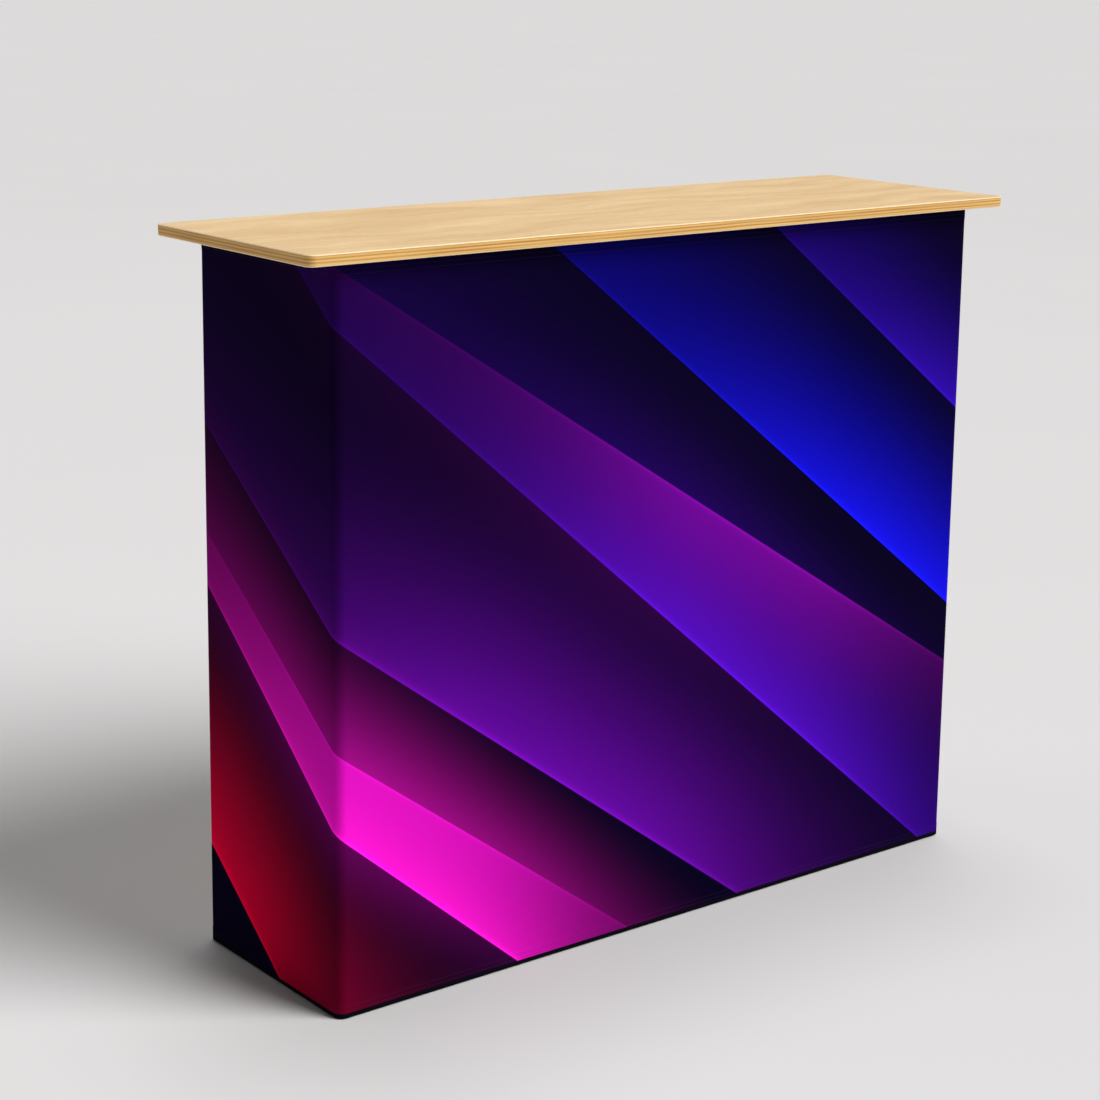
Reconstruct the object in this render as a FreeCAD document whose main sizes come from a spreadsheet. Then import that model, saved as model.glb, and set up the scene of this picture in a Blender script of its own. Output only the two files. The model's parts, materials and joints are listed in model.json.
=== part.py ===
import FreeCAD, Part
import os

import Sketcher
from FreeCAD import Rotation, Vector

# Free-standing display counter: a printed fabric cover stretched over a knock-down tube frame
# under a plywood worktop. Millimetres; the origin is on the floor below the middle of the
# counter, +X runs along its width, the front faces -Y, +Z is up.

doc = FreeCAD.newDocument("display_counter")
sheet = doc.addObject("Spreadsheet::Sheet", "Sizes")

DRIVING_SIZES = (
    ("body_width", 1120, "outside width of the fabric cover"),
    ("body_depth", 330, "outside depth of the fabric cover"),
    ("counter_height", 1000, "floor to the top of the worktop"),
    ("top_thickness", 15, "worktop board"),
    ("end_overhang", 50, "worktop beyond the cover at each end"),
    ("side_overhang", 22.5, "worktop beyond the cover at front and back"),
    ("top_corner_radius", 12, "worktop corners in plan"),
    ("top_edge_radius", 1.5, "eased edges of the worktop"),
    ("tube_diameter", 25, "every frame tube, outside"),
    ("tube_wall", 1.5, "every frame tube"),
    ("collar_length", 16, "connector centre to the tube end"),
    ("spigot_length", 40, "connector spigot inside the tube"),
    ("spigot_clearance", 0.2, "spigot to tube bore, on the radius"),
    ("lead_in", 3, "tapered tip of a spigot, along it"),
    ("lead_in_taper", 1, "tapered tip of a spigot, loss of radius"),
    ("spigot_bore", 15, "hollow of the spigots that carry snap buttons"),
    ("seat_height", 1, "flat seat of a connector beyond the tube"),
    ("seat_diameter", 20, "flat seat of a connector"),
    ("foot_height", 5, "rubber foot below its seat"),
    ("foot_diameter", 24, "rubber foot on the floor"),
    ("foot_taper", 1, "rubber foot, loss of radius up to its seat"),
    ("foot_stem_diameter", 8, "rubber foot stem"),
    ("foot_stem_length", 10, "rubber foot stem"),
    ("stem_clearance", 0.1, "foot stem to its hole, on the radius"),
    ("stem_end_gap", 1, "foot stem to the bottom of its hole"),
    ("peg_diameter", 8, "worktop locating peg"),
    ("peg_length", 8, "worktop locating peg"),
    ("peg_clearance", 0.3, "peg to its hole in the worktop, on the radius and at the end"),
    ("button_diameter", 7, "snap button"),
    ("button_clearance", 0.1, "snap button to its holes, on the radius"),
    ("button_offset", 20, "tube end to the snap button"),
    ("button_height", 2.8, "snap button proud of the tube"),
    ("flange_diameter", 9.6, "snap button flange"),
    ("flange_thickness", 1.2, "snap button flange"),
    ("flange_gap", 0.3, "snap button flange to the spigot bore"),
    ("spring_width", 5, "leaf spring strip"),
    ("spring_thickness", 0.6, "leaf spring strip"),
    ("spring_leg", 13, "straight leg of the leaf spring"),
    ("spring_overrun", 4, "leaf spring beyond the snap button axis"),
    ("spring_gap", 0.2, "leaf spring to the flange and to the bore"),
    ("rivet_diameter", 4, "blind rivet shank"),
    ("rivet_clearance", 0.1, "rivet shank to its hole, on the radius"),
    ("rivet_head_diameter", 7, "blind rivet head"),
    ("rivet_head_height", 1.3, "blind rivet head"),
    ("rivet_depth", 6, "rivet shank below the tube surface"),
    ("head_taper", 0.65, "flat top of a rivet or screw head, as a share of its diameter"),
    ("rivet_offset", 12, "tube end to the corner rivet"),
    ("cover_thickness", 0.8, "stretch fabric"),
    ("cover_gap", 0.2, "cover to the tape behind it"),
    ("cover_floor_gap", 2, "lower hem above the floor"),
    ("cover_top_gap", 0.5, "upper hem below the worktop"),
    ("relief_start", 4, "cut-out of the back return, inward from the post axis"),
    ("relief_gap", 4, "cut-out of the back return beyond the rail"),
    ("tape_thickness", 1.5, "hook and loop tape on the tubes"),
    ("tape_width", 16, "hook and loop tape"),
    ("tape_film", 0.1, "adhesive film under the tape"),
    ("shelf_height", 480, "floor to the top of the shelf"),
    ("shelf_thickness", 12, "shelf board"),
    ("shelf_edge_radius", 1, "eased edges of the shelf"),
    ("shelf_gap", 4, "shelf edge to the cover"),
    ("shelf_notch_gap", 1.5, "shelf notch to the cover round the post and to the saddle rivet"),
    ("shelf_seat_gap", 0.2, "shelf to the rails under it"),
    ("saddle_wall", 2.5, "shelf saddle round the post"),
    ("saddle_gap", 0.1, "shelf saddle to the post"),
    ("saddle_height", 44, "shelf saddle along the post"),
    ("saddle_collar", 20, "post centre to the shelf rail end"),
    ("saddle_spigot", 25, "saddle spigot inside the shelf rail"),
    ("saddle_margin", 1, "cut-back of the saddle edges from the cover"),
    ("saddle_rivet_rise", 17, "saddle rivet above and below the rail axis"),
    ("catch_spacing", 700, "between the two catches on one rail"),
    ("catch_inset", 24, "catch pivot to the rail axis"),
    ("catch_arm_thickness", 6, "turn catch arm"),
    ("catch_boss_diameter", 18, "turn catch boss"),
    ("catch_tip_diameter", 13, "round ends of the turn catch"),
    ("catch_lever", 30, "catch pivot to the end of its finger lever"),
    ("catch_edge_radius", 1.2, "rounded lower edge of the turn catch"),
    ("catch_gap", 0.4, "turn catch to the rail above it"),
    ("screw_diameter", 6, "catch pivot screw"),
    ("screw_clearance", 0.08, "pivot screw to the catch bore, on the radius"),
    ("screw_head_diameter", 12, "catch pivot screw head"),
    ("screw_head_height", 3, "catch pivot screw head"),
    ("socket_width", 4, "hexagon socket of the pivot screw, across its flats"),
    ("socket_depth", 2, "hexagon socket of the pivot screw"),
    ("screw_entry", 10, "pivot screw inside the worktop"),
    ("screw_end_gap", 0.3, "pivot screw head to the catch, and its point to the bottom of its hole"),
)
for row, (alias, size, meaning) in enumerate(DRIVING_SIZES, start=1):
    sheet.set(f"A{row}", meaning)
    sheet.set(f"B{row}", str(size))
    sheet.setAlias(f"B{row}", alias)
doc.recompute()

# Sizes that follow from the driving ones
TUBE_R = "(Sizes.tube_diameter / 2)"
COVER_INNER_R = f"({TUBE_R} + Sizes.tape_thickness + Sizes.cover_gap)"
COVER_OUTER_R = f"({COVER_INNER_R} + Sizes.cover_thickness)"
POST_X = f"(Sizes.body_width / 2 - {COVER_OUTER_R})"
POST_Y = f"(Sizes.body_depth / 2 - {COVER_OUTER_R})"
TOP_UNDERSIDE = "(Sizes.counter_height - Sizes.top_thickness)"
LOW_Z = f"(Sizes.foot_height + Sizes.seat_height + {TUBE_R})"
HIGH_Z = f"({TOP_UNDERSIDE} - Sizes.seat_height - {TUBE_R})"
LONG_RAIL = f"(2 * ({POST_X} - Sizes.collar_length))"
SIDE_RAIL = f"(2 * ({POST_Y} - Sizes.collar_length))"
POST_LENGTH = f"({HIGH_Z} - {LOW_Z} - 2 * Sizes.collar_length)"
SHELF_RAIL = f"(2 * ({POST_Y} - Sizes.saddle_collar))"
SHELF_RAIL_Z = f"(Sizes.shelf_height - Sizes.shelf_thickness - Sizes.shelf_seat_gap - {TUBE_R})"
SPIGOT_R = f"({TUBE_R} - Sizes.tube_wall - Sizes.spigot_clearance)"
SEAT_TOP = f"({TUBE_R} + Sizes.seat_height)"
BORE_R = "(Sizes.spigot_bore / 2)"
BUTTON_R = "(Sizes.button_diameter / 2)"
BUTTON_HOLE = "(Sizes.button_diameter + 2 * Sizes.button_clearance)"
BUTTON_REACH = "(Sizes.collar_length + Sizes.button_offset)"
FLANGE_R = "(Sizes.flange_diameter / 2)"
FLANGE_TOP = f"(sqrt({BORE_R} * {BORE_R} - {FLANGE_R} * {FLANGE_R}) - Sizes.flange_gap)"
FLANGE_BOTTOM = f"({FLANGE_TOP} - Sizes.flange_thickness)"
RIVET_HOLE = "(Sizes.rivet_diameter + 2 * Sizes.rivet_clearance)"
RIVET_REACH = "(Sizes.collar_length + Sizes.rivet_offset)"
SADDLE_R = f"({TUBE_R} + Sizes.saddle_gap + Sizes.saddle_wall)"
RIVET_TOP = "(Sizes.rivet_clearance + Sizes.rivet_head_height)"
CATCH_HEIGHT = "(Sizes.tube_diameter + Sizes.seat_height + Sizes.catch_gap)"
CATCH_Y = f"({POST_Y} - Sizes.catch_inset)"

SIDES = (("left", -1), ("right", 1))
ENDS = (("front", -1), ("back", 1))
LEVELS = (("bottom", -1, LOW_Z), ("top", 1, HIGH_Z))
START, END, CENTRE = range(1, 4)
X_AXIS, Y_AXIS = range(-1, -3, -1)
ORIGIN = X_AXIS

nodes = []


def value(expression):
    """Number that an expression of the sheet has now, used for first positions."""
    return float(sheet.evalExpression(expression))


def bind(thing, **expressions):
    for name, expression in expressions.items():
        thing.setExpression(name, expression)


def place(thing, x="0", y="0", z="0", rotation=None):
    if rotation is not None:
        thing.Placement = FreeCAD.Placement(Vector(), rotation)
    for axis, expression in (("x", x), ("y", y), ("z", z)):
        thing.setExpression(f"Placement.Base.{axis}", expression)
    return thing


def axes(along, facing):
    """Turn that puts own Z along one direction and own Y towards another."""
    z_axis = Vector(*along)
    y_axis = Vector(*facing)
    return Rotation(y_axis.cross(z_axis), y_axis, z_axis, "ZYX")


def pointing(direction):
    return Rotation(Vector(0, 0, 1), Vector(*direction))


def node(thing, label):
    thing.Label = label
    nodes.append(thing)
    return thing


# Sketches and features of a body


def sketch_on(body, role):
    plane = next(item for item in body.Origin.OriginFeatures if item.Role == role)
    sketch = body.newObject("Sketcher::SketchObject", f"{body.Name}_sketch")
    sketch.AttachmentSupport = [(plane, "")]
    sketch.MapMode = "FlatFace"
    return sketch


def dimension(sketch, kind, expression, *points):
    index = sketch.addConstraint(Sketcher.Constraint(kind, *points, value(expression)))
    sketch.setExpression(f"Constraints[{index}]", expression)


def relate(sketch, kind, *points):
    sketch.addConstraint(Sketcher.Constraint(kind, *points))


def locate(sketch, geometry, point, x="0", y="0"):
    for kind, zero_line, expression in (("DistanceX", Y_AXIS, x), ("DistanceY", X_AXIS, y)):
        if expression == "0":
            relate(sketch, "PointOnObject", geometry, point, zero_line)
        else:
            dimension(sketch, kind, expression, ORIGIN, START, geometry, point)


def circle(sketch, diameter, x="0", y="0"):
    middle = Vector(value(x), value(y), 0)
    ring = Part.Circle(middle, Vector(0, 0, 1), value(diameter) / 2)
    index = sketch.addGeometry(ring, False)
    locate(sketch, index, CENTRE, x, y)
    dimension(sketch, "Diameter", diameter, index)


def arc(sketch, x, y, radius, first_degrees, last_degrees):
    quantity = FreeCAD.Units.Quantity
    ring = Part.Circle(Vector(x, y, 0), Vector(0, 0, 1), radius)
    first = quantity(f"{first_degrees} deg").getValueAs("rad").Value
    last = quantity(f"{last_degrees} deg").getValueAs("rad").Value
    return sketch.addGeometry(Part.ArcOfCircle(ring, first, last), False)


def line(sketch, x1, y1, x2, y2):
    return sketch.addGeometry(Part.LineSegment(Vector(x1, y1, 0), Vector(x2, y2, 0)), False)


def rectangle(sketch, x1, y1, x2, y2):
    """Upright rectangle between two opposite corners given as expressions."""
    left, low, right, high = (value(edge) for edge in (x1, y1, x2, y2))
    corners = ((left, low), (right, low), (right, high), (left, high))
    lines = [line(sketch, *corners[i], *corners[(i + 1) % 4]) for i in range(4)]
    for i in range(4):
        relate(sketch, "Coincident", lines[i], END, lines[(i + 1) % 4], START)
        relate(sketch, "Vertical" if i % 2 else "Horizontal", lines[i])
    locate(sketch, lines[0], START, x1, y1)
    locate(sketch, lines[2], START, x2, y2)


def pad(body, sketch, length, reverse=False):
    feature = body.newObject("PartDesign::Pad", f"{body.Name}_pad")
    feature.Profile = sketch
    feature.Reversed = reverse
    bind(feature, Length=length)
    return feature


def pocket(body, sketch, length, reverse=False):
    feature = body.newObject("PartDesign::Pocket", f"{body.Name}_pocket")
    feature.Profile = sketch
    feature.Reversed = reverse
    bind(feature, Length=length)
    return feature


def fillet(body, base, edge_names, radius):
    feature = body.newObject("PartDesign::Fillet", f"{body.Name}_fillet")
    feature.Base = (base, edge_names)
    bind(feature, Radius=radius)
    doc.recompute()
    return feature


# Plain solids and their sums and differences


def cylinder(radius, height, x="0", y="0", z="0", direction=(0, 0, 1)):
    solid = doc.addObject("Part::Cylinder", "cylinder")
    bind(solid, Radius=radius, Height=height)
    return place(solid, x, y, z, pointing(direction))


def cone(low_radius, high_radius, height, x="0", y="0", z="0", direction=(0, 0, 1)):
    solid = doc.addObject("Part::Cone", "cone")
    bind(solid, Radius1=low_radius, Radius2=high_radius, Height=height)
    return place(solid, x, y, z, pointing(direction))


def sphere(radius, x="0", y="0", z="0"):
    solid = doc.addObject("Part::Sphere", "sphere")
    bind(solid, Radius=radius)
    return place(solid, x, y, z)


def hexagon_prism(width, height, z="0"):
    """Six-sided prism given by the width across its flats."""
    solid = doc.addObject("Part::Prism", "prism")
    solid.Polygon = 6
    bind(solid, Circumradius=f"{width} / sqrt(3)", Height=height)
    return place(solid, z=z)


def box(length, width, height, x="0", y="0", z="0"):
    solid = doc.addObject("Part::Box", "box")
    bind(solid, Length=length, Width=width, Height=height)
    return place(solid, x, y, z)


def fused(solids):
    total = doc.addObject("Part::MultiFuse", "fused")
    total.Shapes = solids
    return total


def cut(base, tool):
    rest = doc.addObject("Part::Cut", "cut")
    rest.Base = base
    rest.Tool = tool
    return rest


def common(base, tool):
    overlap = doc.addObject("Part::Common", "common")
    overlap.Base = base
    overlap.Tool = tool
    return overlap


def group(solids):
    together = doc.addObject("Part::Compound", "group")
    together.Links = solids
    return together


def along_axis(axis, sign, distance):
    """Keyword position of a point at a distance along +X or -X (or Y, Z)."""
    return {axis: f"{sign} * {distance}"}


def direction_of(axis, sign):
    return tuple(sign if name == axis else 0 for name in "xyz")


# Frame tubes


def tube(label, length, x, y, z, along, facing, holes=()):
    """Round tube along its own Z with holes through the wall on its facing side."""
    body = doc.addObject("PartDesign::Body", label)
    ring = sketch_on(body, "XY_Plane")
    circle(ring, "Sizes.tube_diameter")
    circle(ring, "Sizes.tube_diameter - 2 * Sizes.tube_wall")
    pad(body, ring, length)
    if holes:
        marks = sketch_on(body, "XZ_Plane")
        for diameter, height in holes:
            circle(marks, diameter, y=height)
        pocket(body, marks, "Sizes.tube_diameter")
    place(body, x, y, z, axes(along, facing))
    return node(body, label)


def end_holes(diameter, offset, length):
    return [(diameter, offset), (diameter, f"{length} - {offset}")]


saddle_holes = [
    (RIVET_HOLE, f"{SHELF_RAIL_Z} - {LOW_Z} - Sizes.collar_length + {step} * Sizes.saddle_rivet_rise")
    for step in (-1, 1)
]
for side, sx in SIDES:
    for end, sy in ENDS:
        post_holes = end_holes(RIVET_HOLE, "Sizes.rivet_offset", POST_LENGTH) + saddle_holes
        tube(
            f"post_{end}_{side}", POST_LENGTH,
            f"{sx} * {POST_X}", f"{sy} * {POST_Y}", f"{LOW_Z} + Sizes.collar_length",
            (0, 0, 1), (0, -sy, 0), post_holes,
        )

for level, sz, rail_z in LEVELS:
    for end, sy in ENDS:
        tube(
            f"{level}_rail_{end}", LONG_RAIL,
            f"-{LONG_RAIL} / 2", f"{sy} * {POST_Y}", rail_z,
            (1, 0, 0), (0, -sy, 0), end_holes(BUTTON_HOLE, "Sizes.button_offset", LONG_RAIL),
        )
    for side, sx in SIDES:
        tube(
            f"{level}_rail_{side}", SIDE_RAIL,
            f"{sx} * {POST_X}", f"-{SIDE_RAIL} / 2", rail_z,
            (0, 1, 0), (-sx, 0, 0), end_holes(RIVET_HOLE, "Sizes.rivet_offset", SIDE_RAIL),
        )

for side, sx in SIDES:
    tube(
        f"shelf_rail_{side}", SHELF_RAIL,
        f"{sx} * {POST_X}", f"-{SHELF_RAIL} / 2", SHELF_RAIL_Z,
        (0, 1, 0), (-sx, 0, 0),
    )


# Three-way corner connectors


def spigot(collar, length, axis, sign):
    """Plug for a tube with a tapered tip, out from the middle of a connector along one axis."""
    direction = direction_of(axis, sign)
    straight = f"({collar} + {length} - Sizes.lead_in)"
    tip = cone(
        SPIGOT_R, f"{SPIGOT_R} - Sizes.lead_in_taper", "Sizes.lead_in", direction=direction,
        **along_axis(axis, sign, straight),
    )
    return [cylinder(SPIGOT_R, straight, direction=direction), tip]


def corner_connector(level, sz, rail_z, end, sy, side, sx):
    """Ball with three collars flush with the tubes, a spigot into each tube and a flat seat.

    The spigot of the front or back rail is hollow and has the snap button hole. The seat of
    a bottom corner takes the stem of a foot, that of a top corner carries a locating peg.
    """
    arms = (("x", -sx), ("y", -sy), ("z", -sz))
    solids = [sphere(TUBE_R)]
    for axis, sign in arms:
        direction = direction_of(axis, sign)
        solids.append(cylinder(TUBE_R, "Sizes.collar_length", direction=direction))
        solids.extend(spigot("Sizes.collar_length", "Sizes.spigot_length", axis, sign))
    outward = (0, 0, sz)
    solids.append(cylinder("Sizes.seat_diameter / 2", SEAT_TOP, direction=outward))
    if level == "top":
        peg_end = f"{SEAT_TOP} + Sizes.peg_length"
        solids.append(cylinder("Sizes.peg_diameter / 2", peg_end, direction=outward))

    hollow_start = "Sizes.collar_length / 2"
    hollow_length = "Sizes.collar_length / 2 + 2 * Sizes.spigot_length"
    inward_x, inward_y = (-sx, 0, 0), (0, -sy, 0)
    cutters = [
        cylinder(BORE_R, hollow_length, direction=inward_x, **along_axis("x", -sx, hollow_start)),
        cylinder(
            f"{BUTTON_HOLE} / 2", "Sizes.tube_diameter", direction=inward_y,
            **along_axis("x", -sx, BUTTON_REACH),
        ),
    ]
    rivet_floor = f"({TUBE_R} - Sizes.rivet_depth - Sizes.rivet_clearance)"
    for axis, sign, facing_axis, facing_sign in (("z", -sz, "y", -sy), ("y", -sy, "x", -sx)):
        start = along_axis(axis, sign, RIVET_REACH)
        start.update(along_axis(facing_axis, facing_sign, rivet_floor))
        facing = direction_of(facing_axis, facing_sign)
        cutters.append(cylinder(f"{RIVET_HOLE} / 2", "Sizes.tube_diameter", direction=facing, **start))
    if level == "bottom":
        depth = "(Sizes.foot_stem_length + Sizes.stem_end_gap)"
        cutters.append(cylinder(
            "Sizes.foot_stem_diameter / 2 + Sizes.stem_clearance", depth, z=f"-{SEAT_TOP}",
        ))
    connector = cut(fused(solids), fused(cutters))
    place(connector, f"{sx} * {POST_X}", f"{sy} * {POST_Y}", rail_z)
    return node(connector, f"connector_{level}_{end}_{side}")


for level, sz, rail_z in LEVELS:
    for end, sy in ENDS:
        for side, sx in SIDES:
            corner_connector(level, sz, rail_z, end, sy, side, sx)


# Snap buttons and the leaf springs behind them


def snap_button(label, x, y, z, outward):
    """Domed pin with a flange that stops it inside the hollow spigot."""
    dome_z = f"({TUBE_R} + Sizes.button_height - {BUTTON_R})"
    button = fused([
        cylinder(FLANGE_R, "Sizes.flange_thickness", z=FLANGE_BOTTOM),
        cylinder(BUTTON_R, f"{dome_z} - {FLANGE_BOTTOM}", z=FLANGE_BOTTOM),
        sphere(BUTTON_R, z=dome_z),
    ])
    place(button, x, y, z, pointing(outward))
    return node(button, label)


def leaf_spring(x, y, z, along, outward):
    """Hairpin strip: own X runs along the spigot to its mouth, own Y towards the button."""
    body = doc.addObject("PartDesign::Body", "leaf_spring")
    half_width = "(Sizes.spring_width / 2)"
    low = f"(-(sqrt({BORE_R} * {BORE_R} - {half_width} * {half_width}) - Sizes.spring_gap))"
    high = f"({FLANGE_BOTTOM} - Sizes.spring_gap)"
    middle = f"(({high} + {low}) / 2)"
    bend_x = "(Sizes.spring_overrun - Sizes.spring_leg)"
    outer_r = f"(({high} - {low}) / 2)"
    inner_r = f"({outer_r} - Sizes.spring_thickness)"
    profile = sketch_on(body, "XY_Plane")
    cx, cy, leg_end = value(bend_x), value(middle), value("Sizes.spring_overrun")
    bends = []
    legs = []
    for radius in (value(outer_r), value(inner_r)):
        bends.append(arc(profile, cx, cy, radius, 90, 270))
        legs.append(line(profile, cx, cy + radius, leg_end, cy + radius))
        legs.append(line(profile, cx, cy - radius, leg_end, cy - radius))
    caps = [
        line(profile, leg_end, cy + value(inner_r), leg_end, cy + value(outer_r)),
        line(profile, leg_end, cy - value(inner_r), leg_end, cy - value(outer_r)),
    ]
    locate(profile, bends[0], CENTRE, bend_x, middle)
    relate(profile, "Coincident", bends[0], CENTRE, bends[1], CENTRE)
    for i, radius in enumerate((outer_r, inner_r)):
        dimension(profile, "Radius", radius, bends[i])
        relate(profile, "Tangent", bends[i], START, legs[2 * i], START)
        relate(profile, "Tangent", bends[i], END, legs[2 * i + 1], START)
        relate(profile, "Horizontal", legs[2 * i])
        relate(profile, "Horizontal", legs[2 * i + 1])
    for i in range(2):
        relate(profile, "Coincident", caps[i], START, legs[2 + i], END)
        relate(profile, "Coincident", caps[i], END, legs[i], END)
        relate(profile, "Vertical", caps[i])
        dimension(profile, "DistanceX", "Sizes.spring_overrun", ORIGIN, START, caps[i], START)
    strip = pad(body, profile, "Sizes.spring_width")
    strip.SideType = "Symmetric"
    across = Vector(*along).cross(Vector(*outward))
    place(body, x, y, z, Rotation(Vector(*along), Vector(*outward), across, "XYZ"))
    return body


springs = []
for level, sz, rail_z in LEVELS:
    for end, sy in ENDS:
        for side, sx in SIDES:
            button_x = f"{sx} * ({POST_X} - {BUTTON_REACH})"
            rail_y = f"{sy} * {POST_Y}"
            snap_button(f"snap_button_{level}_{end}_{side}", button_x, rail_y, rail_z, (0, -sy, 0))
            springs.append(leaf_spring(button_x, rail_y, rail_z, (-sx, 0, 0), (0, -sy, 0)))
node(group(springs), "button_springs")


# Feet


def foot(label, x, y):
    floor_r = "Sizes.foot_diameter / 2"
    disc = cone(floor_r, f"{floor_r} - Sizes.foot_taper", "Sizes.foot_height")
    stem = cylinder("Sizes.foot_stem_diameter / 2", "Sizes.foot_height + Sizes.foot_stem_length")
    pad_and_stem = fused([disc, stem])
    place(pad_and_stem, x, y)
    return node(pad_and_stem, label)


for end, sy in ENDS:
    for side, sx in SIDES:
        foot(f"foot_{end}_{side}", f"{sx} * {POST_X}", f"{sy} * {POST_Y}")


# Shelf saddles


def shelf_saddle(label, x, y, inward):
    """Cradle round the inner side of a post with a collar and a spigot for the shelf rail."""
    grip_r = f"({TUBE_R} + Sizes.saddle_gap)"
    clear_r = f"({COVER_INNER_R} - Sizes.cover_gap)"
    setback = (
        f"(sqrt(max(0; {SADDLE_R} * {SADDLE_R} - {clear_r} * {clear_r})) + Sizes.saddle_margin)"
    )
    half_height = "(Sizes.saddle_height / 2)"
    along = (0, 1, 0)
    cradle = fused([
        cylinder(SADDLE_R, "Sizes.saddle_height", z=f"-{half_height}"),
        cylinder(TUBE_R, "Sizes.saddle_collar", direction=along),
        *spigot("Sizes.saddle_collar", "Sizes.saddle_spigot", "y", 1),
    ])
    away = fused([
        cylinder(grip_r, "2 * Sizes.saddle_height", z="-Sizes.saddle_height"),
        box(
            f"4 * {SADDLE_R}", f"2 * {SADDLE_R}", "2 * Sizes.saddle_height",
            f"-2 * {SADDLE_R}", f"{setback} - 2 * {SADDLE_R}", "-Sizes.saddle_height",
        ),
    ])
    holes = []
    for step in (-1, 1):
        rise = f"{step} * Sizes.saddle_rivet_rise"
        holes.append(cylinder(f"{RIVET_HOLE} / 2", "2 * Sizes.saddle_collar", z=rise, direction=along))
    saddle = cut(cut(cradle, away), fused(holes))
    place(saddle, x, y, SHELF_RAIL_Z, axes((0, 0, 1), inward))
    return node(saddle, label)


for end, sy in ENDS:
    for side, sx in SIDES:
        shelf_saddle(f"shelf_saddle_{end}_{side}", f"{sx} * {POST_X}", f"{sy} * {POST_Y}", (0, -sy, 0))


# Blind rivets of the side frames


def rivet(x, y, z, surface, depth, outward):
    """Shank and low head; surface is the height of the riveted face along the outward axis."""
    head_r = "Sizes.rivet_head_diameter / 2"
    length = f"{depth} + Sizes.rivet_clearance"
    shank = cylinder("Sizes.rivet_diameter / 2", length, z=f"{surface} - {depth}")
    head_top_r = f"{head_r} * Sizes.head_taper"
    head_z = f"{surface} + Sizes.rivet_clearance"
    head = cone(head_r, head_top_r, "Sizes.rivet_head_height", z=head_z)
    whole = fused([shank, head])
    return place(whole, x, y, z, pointing(outward))


corner_rivets = []
for side, sx in SIDES:
    post_x = f"{sx} * {POST_X}"
    for end, sy in ENDS:
        post_y = f"{sy} * {POST_Y}"
        for level, sz, rail_z in LEVELS:
            post_rivet_z = f"{rail_z} - {sz} * {RIVET_REACH}"
            rail_rivet_y = f"{sy} * ({POST_Y} - {RIVET_REACH})"
            corner_rivets.append(
                rivet(post_x, post_y, post_rivet_z, TUBE_R, "Sizes.rivet_depth", (0, -sy, 0))
            )
            corner_rivets.append(
                rivet(post_x, rail_rivet_y, rail_z, TUBE_R, "Sizes.rivet_depth", (-sx, 0, 0))
            )
node(group(corner_rivets), "corner_rivets")

saddle_rivets = []
for side, sx in SIDES:
    for end, sy in ENDS:
        for step in (-1, 1):
            saddle_rivets.append(rivet(
                f"{sx} * {POST_X}", f"{sy} * {POST_Y}",
                f"{SHELF_RAIL_Z} + {step} * Sizes.saddle_rivet_rise",
                SADDLE_R, "(Sizes.rivet_depth + Sizes.saddle_wall)", (0, -sy, 0),
            ))
node(group(saddle_rivets), "saddle_rivets")


# Hook and loop tape on the outer side of the frame


def tape(length, x, y, z, along, facing):
    """Strip that follows the tube surface on its facing side."""
    outer = cylinder(f"{TUBE_R} + Sizes.tape_thickness", length)
    inner = cylinder(f"{TUBE_R} + Sizes.tape_film", length)
    window = box(
        "Sizes.tape_width", "Sizes.tube_diameter", length, "-Sizes.tape_width / 2",
    )
    strip = common(cut(outer, inner), window)
    return place(strip, x, y, z, axes(along, facing))


tapes = []
for level, sz, rail_z in LEVELS:
    tapes.append(tape(LONG_RAIL, f"-{LONG_RAIL} / 2", f"-{POST_Y}", rail_z, (1, 0, 0), (0, -1, 0)))
    for side, sx in SIDES:
        side_x = f"{sx} * {POST_X}"
        tapes.append(tape(SIDE_RAIL, side_x, f"-{SIDE_RAIL} / 2", rail_z, (0, 1, 0), (sx, 0, 0)))
for side, sx in SIDES:
    post_foot = f"{LOW_Z} + Sizes.collar_length"
    tapes.append(tape(POST_LENGTH, f"{sx} * {POST_X}", POST_Y, post_foot, (0, 0, 1), (0, 1, 0)))
node(group(tapes), "hook_tapes")


# Printed fabric cover


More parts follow.
